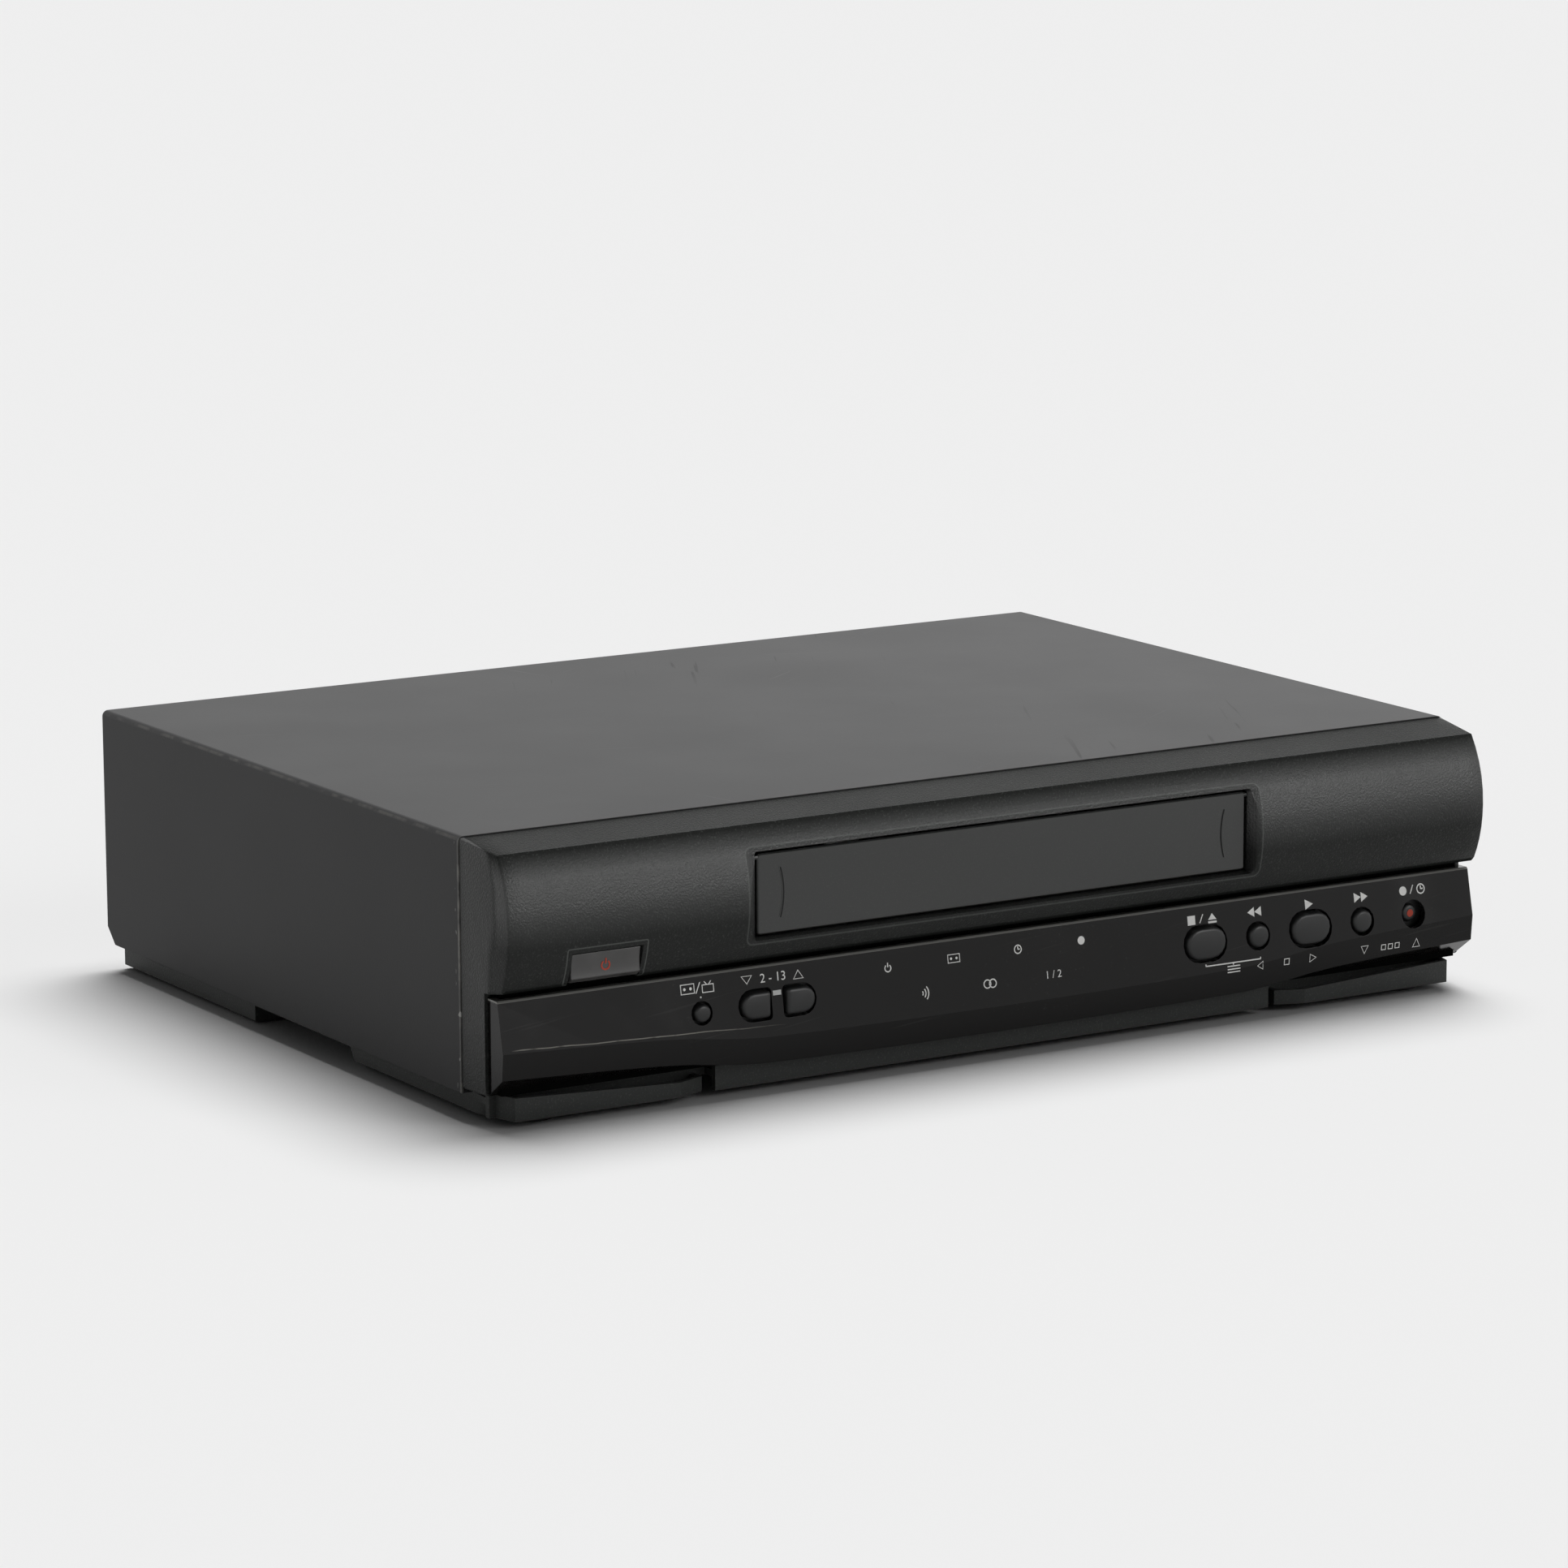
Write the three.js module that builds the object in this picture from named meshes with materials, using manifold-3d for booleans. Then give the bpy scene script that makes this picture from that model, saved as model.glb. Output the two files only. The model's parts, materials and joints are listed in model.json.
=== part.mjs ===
// A full-width home video cassette recorder: a folded steel cover over a moulded base, a moulded
// front with a convex nose above a bowed gloss panel, and the front-loading tape deck inside.
// Millimetres. +Z is up, the front looks towards -Y, and +X is to the right seen from the front.
// The origin is on the table, under the middle of the case.

import * as THREE from 'three';
import { mergeVertices } from 'three/addons/utils/BufferGeometryUtils.js';
import Module from 'manifold-3d';

const wasm = await Module();
wasm.setup();

// Clearances shared by all pieces
const fitGap = 0.3;
const cutOver = 3;
const curveSteps = 5;
const arcSteps = 4;
const slotSteps = 2;
const roundSteps = 24;
const drumSteps = 36;
const shaftSteps = 14;
const mergeDistance = 1e-4;

// Steel cover. Heights in this file count from its lower edge, which stands off the table.
const caseWidth = 400;
const coverHeight = 85.7;
const coverDepth = 269.5;
const standHeight = 10;
const coverSheet = 1.2;
const coverBend = 2.2;
const coverHem = 5;
const coverTabWidth = 14;
const coverTabDrop = 9;
const coverTabHole = 1.7;
const coverCorner = 6;

// Moulded front. A reach is how far a point stands in front of the cover's front edge.
const mouldedWall = 2.4;
const bezelLip = 6;
const ledgeReach = 21;
const ledgeDrop = 1.4;
const ledgeStep = 0.5;
const sideStep = 0.4;
const sideTaper = 2.2;
const lipRoot = 3;
const endRounding = 0.9;
const noseReach = 28.4;
const noseMiddle = 58.4;
const noseFoot = 38.2;
const noseFootReach = 23.8;
const noseChamfer = 1.1;
const noseCurveShare = 0.55;
const grooveRoof = 36;
const grooveReach = 16.4;

// Gloss panel under the groove
const panelTop = 34.2;
const panelTopReach = 19.9;
const panelCreaseReach = 23.4;
const panelCreaseRise = 9;
const panelFootReach = 22.6;
const panelRearReach = 13.5;
const panelHeel = 1.8;
const panelFootMiddle = 0.3;
const panelFootEnds = 8.3;
const panelWall = 2.2;
const panelEdge = 0.5;
const panelSideReturn = 2.8;

// Cassette, and the door that it pushes open
const cassetteWidth = 188;
const cassetteHeight = 25;
const doorSideRoom = 4.65;
const doorHeightRoom = 2.4;
const doorCentreX = -2.8;
const doorFoot = 45.7;
const doorReach = 24.6;
const doorSheet = 1.8;
const doorGap = 0.5;
const doorEdge = 0.5;
const doorAxisDrop = 1.2;
const doorPinRadius = 0.8;
const doorPinLength = 2.6;
const doorPinRoom = 0.1;
const pocketFlareSide = 4;
const pocketFlareHeight = 2.4;
const pocketFlareDepth = 6;
const pocketFrame = 2.2;

// Buttons in the gloss panel: the holes they stand in, and their caps
const buttonRowHeight = 20.5;
const leftRowHeight = 21.3;
const capGap = 0.9;
const capDome = 1.3;
const capReach = 23.2;
const capFlange = 1.3;
const capFlangeThickness = 0.8;
const capFlangeReach = 18.2;
const stemRadius = 1.6;
const buttonTravel = 1.2;
const smallHole = 8.1;
const roundHole = 10.2;
const wideHoleWidth = 18.4;
const wideHoleHeight = 13.2;
const dHoleWidth = 13;
const dHoleHeight = 10.9;
const dFlatCorner = 1.6;
const recordCap = 6.6;
const recordCapReach = 20.4;
const buttonPitch = 22.4;
const recordInset = 28.7;
const tvVcrInset = 78.6;
const channelDownInset = 99.2;
const channelUpInset = 116.6;
const windowFootRoom = 13.2;
const windowTopRoom = 9.9;

// Power key in its notch, open at the foot of the nose
const keyInset = 40.1;
const notchWidth = 26.7;
const notchTop = 48.5;
const keyGap = 0.4;
const keyReach = 26.4;
const keyHollowReach = 25;
const keyLipReach = 25.7;
const keyRearReach = 19;
const keyLipHeight = 1.4;
const keyFlange = 1.5;
const keyFlangeThickness = 1;

// Moulded base with its front feet
const baseWall = 2.4;
const floorTop = -0.6;
const baseWallTop = 8;
const skirtFront = -7.3;
const skirtMiddle = -3;
const skirtRear = -8.4;
const skirtFrontEnd = 86;
const skirtMiddleStart = 89;
const rearFootStart = 161;
const rearFootEnd = 190;
const rearFootWidth = 24;
const footReach = 18;
const footOuterInset = 10;
const footInnerInset = 72.7;
const footEndInset = 83;
const footEndReach = 14;
const footTopOuter = 0.7;
const footTopInner = -2.2;
const footWall = 2;
const footBackReach = 9;
const troughFloor = -5;
const stripInset = 87;
const stripReach = 16;
const padRadius = 9;
const padInset = 23;
const padReach = 3;
const padRecess = 0.5;

// Steel bottom and rear
const plateSheet = 1;
const louvreLength = 46;
const louvreWidth = 3;
const louvrePitch = 12;
const louvreCount = 6;
const recessWidth = 150;
const recessHeight = 46;
const recessDepth = 14;
const recessX = -55;
const recessMiddle = 42;
const jackRadius = 4.2;
const jackLength = 9;
const jackOffset = 12;
const jackPitch = 17;
const jackRowOffset = 10;
const jackBoreShare = 0.62;
const blockDepth = 13;
const blockMargin = 9;
const tunerOffset = 44;
const tunerHalf = 25;
const tunerBoreShare = 0.3;
const tunerDepth = 37.7;
const ventWidth = 3;
const ventHeight = 34;
const ventPitch = 8;
const ventCount = 9;
const ventMargin = 25;
const glandRadius = 5.7;
const glandBore = 3.3;
const glandFlange = 8;
const glandLength = 12;
const glandInset = 40;
const glandHeight = 24;

// Boards and what stands on them
const boardSheet = 1.6;
const bossRadius = 3.5;
const frontBoardReach = 9;
const frontBoardFoot = 6;
const frontBoardTop = 33;
const boardInset = 14;
const displayLeftMargin = 15.4;
const displayRightMargin = 26.3;
const displayHeight = 17;
const switchSize = 6;
const switchReach = 14;
const mainBoardFoot = 6;
const mainBoardStart = 212;
const mainBoardEnd = 262;
const wingMargin = 16.2;
const wingStart = 24;
const powerBoardStart = 24;
const powerBoardEnd = 196;
const powerBoardMargin = 17.8;
const boardOverlap = 1;
const canisterSides = 12;
const chipHeight = 4;
const lowCanisterHeight = 14;
const highCanisterHeight = 30;
const transformerHeight = 34;
const windingHeight = 22;
const heatSinkHeight = 26;
const boreSteps = 3;

// Tape deck. Its own origin is on the deck plate, between the reels.
const reelRow = 58;
const deckHeight = 21.4;
const deckSheet = 1.4;
const deckHalf = 101;
const deckFront = -53;
const deckRear = 150;
const deckFlange = 6;
const reelSpacing = 99;
const wheelLift = 1.8;
const wheelThickness = 2.6;
const reelRim = 24;
const idlerRim = 22;
const centreHub = 8;
const frictionGap = 0.1;
const halfTurnDegrees = 180;
const gearModule = 1.3;
const toothRiseShare = 0.75;
const toothDropShare = 0.95;
const toothFootShare = 0.3;
const toothTipShare = 0.13;
const camTeeth = 33;
const pinionTeeth = 11;
const camHoles = 3;
const camHoleRadius = 3.5;
const camHoleCircle = 13;
const camHoleDegrees = 30;
const camHoleSteps = 12;
const shaftRoom = 0.1;
const studRadius = 1.5;
const axleRise = 1;
const turnedEdge = 1;
const hubRadius = 5;
const reelCollar = 3;
const spindleHeight = 17;
const spindleTip = 4;
const spindleFin = 1.4;
const spindleFins = 3;
const idlerTyre = 3;
const idlerWeb = 1.4;
const armSheet = 1.2;
const armWidth = 7;
const drumY = 95;
const drumRadius = 31;
const drumTiltDegrees = 5.97;
const lowerDrumHeight = 14;
const upperDrumHeight = 12.5;
const drumFoot = 3.2;
const drumNeck = 3.8;
const drumNeckShare = 0.75;
const drumGap = 0.3;
const drumShaft = 3;
const drumShaftDepth = 9;
const drumDish = 4;
const drumTopShares = [0.62, 0.55, 0.3, 0.26];
const headWindow = 2;
const headFlange = 2;
const headFaceShare = 1 / 3;
const eraseHead = { width: 12, depth: 7, top: 20, turnDegrees: -60, x: -52, y: 68 };
const audioHead = { width: 13, depth: 8, top: 22, turnDegrees: 60, x: 66, y: 96 };
const capstanX = 42;
const capstanY = 50;
const capstanRadius = 2;
const capstanTop = 22;
const flywheelRadius = 22;
const flywheelThickness = 5;
const flywheelDrop = 8;
const bearingLift = 1;
const sleeveRadius = 3.5;
const smallGroove = 8;
const largeGroove = 14;
const grooveRim = 1.5;
const beltSize = 1.2;
const beltRoom = 0.15;
const pulleyThickness = 3;
const pinchRadius = 6.5;
const pinchHeight = 14;
const pinchPivotX = 62;
const pinchPivotY = 62;
const pinchSwingDegrees = 60;
const guideStartX = 30;
const guideStartY = 44;
const guideEndX = 44;
const guideEndY = 112;
const guideRadius = 3;
const guideSlot = 5;
const guideTop = 21;
const guideRollerHeight = 12.5;
const guideFlange = 0.6;
const guideFlangeHeight = 1.5;
const guideEdge = 0.5;
const guideBlockShare = 0.7;
const guideBlockHalf = 6;
const guideBlockHeight = 4;
const tensionX = -72;
const tensionY = 44;
const tensionArm = 27;
const tensionPostDrop = 2;
const tensionRestDegrees = 10;
const camX = -70;
const camY = 95;
const motorRadius = 12;
const motorLength = 18;
const motorShaft = 6;

// Cassette loader above the deck
const cassetteRest = 46;
const cassetteRoom = 0.6;
const holderSheet = 0.8;
const holderFront = 4;
const holderDepth = 44;
const holderLip = 14;
const holderTravelIn = 66;
const holderTravelDown = 20;
const loaderSheet = 1.2;
const loaderGap = 0.35;
const loaderPin = 1.5;
const loaderPinRoom = 0.25;
const sliderTop = 80.6;
const sliderBar = 8;
const bracketTop = 79.4;
const bracketRear = 122;
const bracketFlange = 9;
const bracketWindowLengthShare = 0.7;
const bracketWindowHeightShare = 0.55;
const bracketWindowCorner = 4;
const holderWindowShare = 0.6;
const holderWindowCorner = 3;
const railLow = 36;
const railHigh = 75;
const railFrontPin = 8;
const railRearPin = 36;
const holderFrontPin = 15;
const holderRearPin = 29;
const holderPinHeight = 59;

// Derived places of the case
const caseHalf = caseWidth / 2;
const frontY = noseReach - (coverDepth + noseReach) / 2;
const coverInnerTop = coverHeight - coverSheet;
const bezelTop = coverInnerTop - fitGap;
const bezelHalf = caseHalf - sideStep;
const bezelLipHalf = caseHalf - coverSheet - fitGap;
const bezelFoot = coverSheet + fitGap;
const ledgeRear = coverHeight - ledgeStep;
const ledgeFront = bezelTop - ledgeDrop;
const panelHalf = bezelHalf - sideTaper - fitGap;
const nestHalf = panelHalf - panelSideReturn;
const baseHalf = caseHalf - coverHem - fitGap;
const rearPanelY = coverDepth - coverSheet - fitGap - plateSheet;
const doorWidth = cassetteWidth + 2 * doorSideRoom;
const doorHeight = cassetteHeight + doorHeightRoom;
const doorTop = doorFoot + doorHeight;
const floorBottom = floorTop - baseWall;

// Derived places counted inwards from the case's sides
const footOuterX = caseHalf - footOuterInset;
const footInnerX = caseHalf - footInnerInset;
const footEndX = caseHalf - footEndInset;
const stripHalf = caseHalf - stripInset;
const padX = caseHalf - padInset;
const glandX = caseHalf - glandInset;
const keyX = keyInset - caseHalf;
const tvVcrX = tvVcrInset - caseHalf;
const channelDownX = channelDownInset - caseHalf;
const channelUpX = channelUpInset - caseHalf;
const rightGroup = [4, 3, 2, 1, 0].map((fromLast) => caseHalf - recordInset - fromLast * buttonPitch);
const boardHalf = caseHalf - boardInset;
const powerBoardWidth = boardHalf - deckHalf - doorCentreX - powerBoardMargin;
const wingWidth = boardHalf - deckHalf + doorCentreX - wingMargin;
const ventStartX = recessX + recessWidth / 2 + ventMargin;

// Windows behind the panel's buttons and its indicators, and the bosses of the board between them
const leftWindow = [tvVcrX - dHoleWidth, channelUpX + dHoleWidth];
const rightWindow = [rightGroup[0] - wideHoleWidth, rightGroup[4] + dHoleWidth];
const displayWindow = [leftWindow[1] + displayLeftMargin, rightWindow[0] - displayRightMargin];
const boardBossPlaces = [
  keyX - notchWidth / 2 + bossRadius / 2,
  (leftWindow[1] + displayWindow[0]) / 2,
  (displayWindow[1] + rightWindow[0]) / 2,
  boardHalf - 2 * bossRadius,
];

// Derived places of the deck and the loader
const wheelTop = wheelLift + wheelThickness;
const armFoot = fitGap;
const armTop = armFoot + armSheet;
const reelX = reelSpacing / 2;
const centreY = -(centreHub + idlerRim + frictionGap);
const pulleyTop = -flywheelDrop - flywheelThickness;
const pulleyFoot = pulleyTop - pulleyThickness;
const guideAngle = Math.atan2(guideEndX - guideStartX, guideEndY - guideStartY);
const pinionY = camY + gearModule * (camTeeth + pinionTeeth) / 2;
const drumShoulder = drumFoot + drumNeck;
const drumSplit = drumShoulder + lowerDrumHeight;
const holderHalf = cassetteWidth / 2 + cassetteRoom + holderSheet;
const sliderNear = holderHalf + loaderGap;
const sliderFar = sliderNear + loaderSheet;
const bracketNear = sliderFar + loaderGap;
const bracketFar = bracketNear + loaderSheet;

function front(reach) {
  return frontY - reach;
}

function back(depth) {
  return frontY + depth;
}

function above(height) {
  return standHeight + height;
}

// Making solids

function solidFrom(geometry) {
  const bare = geometry.index ? geometry.toNonIndexed() : geometry;
  const onlyPlaces = new THREE.BufferGeometry();
  onlyPlaces.setAttribute('position', bare.getAttribute('position'));
  const merged = mergeVertices(onlyPlaces, mergeDistance);
  const index = merged.index.array;
  const triangles = [];
  for (let i = 0; i < index.length; i += 3) {
    const [a, b, c] = [index[i], index[i + 1], index[i + 2]];
    if (a !== b && b !== c && c !== a) triangles.push(a, b, c);
  }
  return new wasm.Manifold(new wasm.Mesh({
    numProp: 3,
    vertProperties: merged.getAttribute('position').array,
    triVerts: new Uint32Array(triangles),
  }));
}

function joined(first, ...others) {
  return others.reduce((sum, next) => sum.add(next), first);
}

function cut(body, ...tools) {
  return tools.reduce((rest, tool) => rest.subtract(tool), body);
}

function box([lowX, highX], [lowY, highY], [lowZ, highZ]) {
  const geometry = new THREE.BoxGeometry(highX - lowX, highY - lowY, highZ - lowZ);
  geometry.translate((lowX + highX) / 2, (lowY + highY) / 2, (lowZ + highZ) / 2);
  return solidFrom(geometry);
}

function polygon(points) {
  return new THREE.Shape(points.map(([a, b]) => new THREE.Vector2(a, b)));
}

// An outline is a Shape or a list of points. One in (y, z) runs along x, one in (x, z) along y,
// and one in (x, y) along z.
function prism(outline, axis, low, high, segments = curveSteps) {
  const shape = Array.isArray(outline) ? polygon(outline) : outline;
  const geometry = new THREE.ExtrudeGeometry(shape, {
    depth: high - low,
    bevelEnabled: false,
    curveSegments: segments,
  });
  if (axis === 'x') {
    const turn = new THREE.Matrix4().makeBasis(
      new THREE.Vector3(0, 1, 0),
      new THREE.Vector3(0, 0, 1),
      new THREE.Vector3(1, 0, 0),
    );
    geometry.applyMatrix4(turn).translate(low, 0, 0);
  }
  if (axis === 'y') geometry.rotateX(Math.PI / 2).translate(0, high, 0);
  if (axis === 'z') geometry.translate(0, 0, low);
  return solidFrom(geometry);
}

// Skins a row of outlines along one axis. A station's place may depend on the outline's first number.
function loft(axis, stations, segments = curveSteps) {
  const rings = stations.map(({ outline }) => {
    const ring = Array.isArray(outline)
      ? outline.map(([a, b]) => new THREE.Vector2(a, b))
      : outline.extractPoints(segments).shape;
    return THREE.ShapeUtils.isClockWise(ring) ? ring.reverse() : ring;
  });
  const count = rings[0].length;
  const places = [];
  rings.forEach((ring, i) => {
    for (const { x: u, y: v } of ring) {
      const at = typeof stations[i].at === 'function' ? stations[i].at(u) : stations[i].at;
      if (axis === 'x') places.push(at, u, v);
      if (axis === 'y') places.push(u, at, v);
      if (axis === 'z') places.push(u, v, at);
    }
  });
  const faces = [];
  for (let i = 0; i + 1 < rings.length; i += 1) {
    for (let j = 0; j < count; j += 1) {
      const a = i * count + j;
      const b = i * count + (j + 1) % count;
      faces.push([a, b, b + count], [a, b + count, a + count]);
    }
  }
  const last = (rings.length - 1) * count;
  for (const [a, b, c] of THREE.ShapeUtils.triangulateShape(rings[0], [])) faces.push([a, c, b]);
  for (const [a, b, c] of THREE.ShapeUtils.triangulateShape(rings.at(-1), [])) {
    faces.push([last + a, last + b, last + c]);
  }
  const mirrored = axis === 'y';
  const geometry = new THREE.BufferGeometry();
  geometry.setAttribute('position', new THREE.Float32BufferAttribute(places, 3));
  geometry.setIndex(faces.flatMap(([a, b, c]) => (mirrored ? [a, c, b] : [a, b, c])));
  return solidFrom(geometry);
}

// A body of revolution about z, from [radius, height] points that start and end on the axis.
function turned(profile, sides = roundSteps) {
  const points = profile.map(([radius, height]) => new THREE.Vector2(radius, height));
  return solidFrom(new THREE.LatheGeometry(points, sides).rotateX(Math.PI / 2));
}

function rod(radius, low, high, sides = roundSteps) {
  return turned([[0, low], [radius, low], [radius, high], [0, high]], sides);
}

function moved(solid, x, y, z) {
  return solid.translate([x, y, z]);
}

function circle(x, y, radius) {
  const shape = new THREE.Shape();
  shape.absarc(x, y, radius, 0, 2 * Math.PI);
  return shape;
}

// A bar with half-round ends from one point to another, seen along the third axis.
function slot(fromX, fromY, toX, toY, radius) {
  const angle = Math.atan2(toY - fromY, toX - fromX);
  const shape = new THREE.Shape();
  shape.absarc(fromX, fromY, radius, angle + Math.PI / 2, angle + 3 * Math.PI / 2);
  shape.absarc(toX, toY, radius, angle - Math.PI / 2, angle + Math.PI / 2);
  return shape;
}

// A rectangle about a centre whose left and right corners may have other radii, as a list of points.
function rounded(x, y, width, height, leftRadius, rightRadius = leftRadius, steps = arcSteps) {
  const corners = [[1, 1, rightRadius], [-1, 1, leftRadius], [-1, -1, leftRadius], [1, -1, rightRadius]];
  return corners.flatMap(([toRight, toTop, radius], quarter) => (
    Array.from({ length: steps + 1 }, (_, step) => {
      const angle = (quarter + step / steps) * Math.PI / 2;
      return [
        x + toRight * (width / 2 - radius) + radius * Math.cos(angle),
        y + toTop * (height / 2 - radius) + radius * Math.sin(angle),
      ];
    })
  ));
}

// Spur gear with straight-sided teeth; one tooth points at the phase angle.
function gearOutline(teeth, phase) {
  const pitchRadius = gearModule * teeth / 2;
  const tipRadius = pitchRadius + toothRiseShare * gearModule;
  const rootRadius = pitchRadius - toothDropShare * gearModule;
  const pitch = 2 * Math.PI / teeth;
  const corners = [
    [-toothFootShare, rootRadius],
    [-toothTipShare, tipRadius],
    [toothTipShare, tipRadius],
    [toothFootShare, rootRadius],
  ];
  const points = [];
  for (let tooth = 0; tooth < teeth; tooth += 1) {
    for (const [share, radius] of corners) {
      const angle = phase + (tooth + share) * pitch;
      points.push([radius * Math.cos(angle), radius * Math.sin(angle)]);
    }
  }
  return polygon(points);
}

function gear(teeth, phase) {
  return prism(gearOutline(teeth, phase), 'z', wheelLift, wheelTop);
}

// The look of a piece, which each piece makes its own material from
function finish(color, roughness, metalness = 0) {
  return { color, roughness, metalness };
}

const recorder = new THREE.Group();
recorder.name = 'video_cassette_recorder';

function piece(name, solid, look, parent = recorder, place = [0, 0, 0]) {
  const { vertProperties, triVerts } = solid.getMesh();
  const geometry = new THREE.BufferGeometry();
  geometry.setAttribute('position', new THREE.BufferAttribute(new Float32Array(vertProperties), 3));
  geometry.setIndex(new THREE.BufferAttribute(new Uint32Array(triVerts), 1));
  geometry.computeVertexNormals();
  const mesh = new THREE.Mesh(geometry, new THREE.MeshStandardMaterial(look));
  mesh.name = name;
  mesh.position.set(...place);
  parent.add(mesh);
  return mesh;
}

// Top cover: one folded sheet with hems along its lower edges and screw tabs at the rear.

function coverOutline(inset) {
  const half = caseHalf - inset;
  const top = above(coverHeight - inset);
  const bend = coverBend - inset;
  const shape = new THREE.Shape();
  shape.moveTo(-half, above(inset));
  shape.lineTo(-half, top - bend);
  shape.absarc(-half + bend, top - bend, bend, Math.PI, Math.PI / 2, true);
  shape.lineTo(half - bend, top);
  shape.absarc(half - bend, top - bend, bend, Math.PI / 2, 0, true);
  shape.lineTo(half, above(inset));
  return shape;
}

function makeTopCover() {
  const outside = prism(coverOutline(0), 'y', back(0), back(coverDepth));
  const inside = prism(coverOutline(coverSheet), 'y', back(-cutOver), back(coverDepth + cutOver));
  const mouthHalf = caseHalf - coverHem;
  const mouth = box(
    [-mouthHalf, mouthHalf],
    [back(-cutOver), back(coverDepth + cutOver)],
    [above(-cutOver), above(coverSheet + cutOver)],
  );
  let cover = cut(outside, inside, mouth);
  for (const x of [-caseWidth / 4, 0, caseWidth / 4]) {
    const tab = box(
      [x - coverTabWidth / 2, x + coverTabWidth / 2],
      [back(coverDepth - coverSheet), back(coverDepth)],
      [above(coverHeight - coverTabDrop), above(coverHeight - coverSheet / 2)],
    );
    const hole = prism(
      circle(x, above(coverHeight - coverTabDrop / 2 - coverSheet / 2), coverTabHole),
      'y', back(coverDepth - cutOver), back(coverDepth + cutOver),
    );
    cover = cut(cover.add(tab), hole);
  }
  const corner = polygon([
    [back(coverDepth - coverCorner), above(-cutOver)],
    [back(coverDepth - coverCorner), above(0)],
    [back(coverDepth), above(coverCorner)],
    [back(coverDepth + cutOver), above(coverCorner)],
    [back(coverDepth + cutOver), above(-cutOver)],
  ]);
  cover = cut(cover, prism(corner, 'x', -caseHalf - cutOver, caseHalf + cutOver));
  piece('top_cover', cover, finish(0x3c3c3c, 0.55, 0.3));
}

// Front bezel: the nose, the ledge in front of the cover, the lip that the cover slides over, and
// the wall behind the gloss panel.

function bezelOutline(inset, rear = front(fitGap), rearTop = ledgeRear) {
  const shape = new THREE.Shape();
  const upperHold = noseMiddle + noseCurveShare * (ledgeFront - noseMiddle);
  const lowerHold = noseMiddle - noseCurveShare * (noseMiddle - noseFoot);
  shape.moveTo(rear, above(rearTop - inset));
  shape.lineTo(front(ledgeReach - inset), above(ledgeFront - inset));
  shape.quadraticCurveTo(
    front(noseReach - inset), above(upperHold - inset), front(noseReach - inset), above(noseMiddle),
  );
  shape.quadraticCurveTo(
    front(noseReach - inset), above(lowerHold + inset),
    front(noseFootReach - inset), above(noseFoot + inset),
  );
  shape.lineTo(front(noseFootReach - noseChamfer - inset), above(noseFoot - noseChamfer + inset));
  shape.lineTo(front(grooveReach - inset), above(grooveRoof + inset));
  shape.lineTo(front(grooveReach - inset), above(bezelFoot + inset));
  shape.lineTo(rear, above(bezelFoot + inset));
  return shape;
}

function bezelEnd(y, inset) {
  const reach = THREE.MathUtils.clamp((frontY - y) / ledgeReach, 0, 1);
  return bezelHalf - sideTaper * reach - inset;
}

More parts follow.
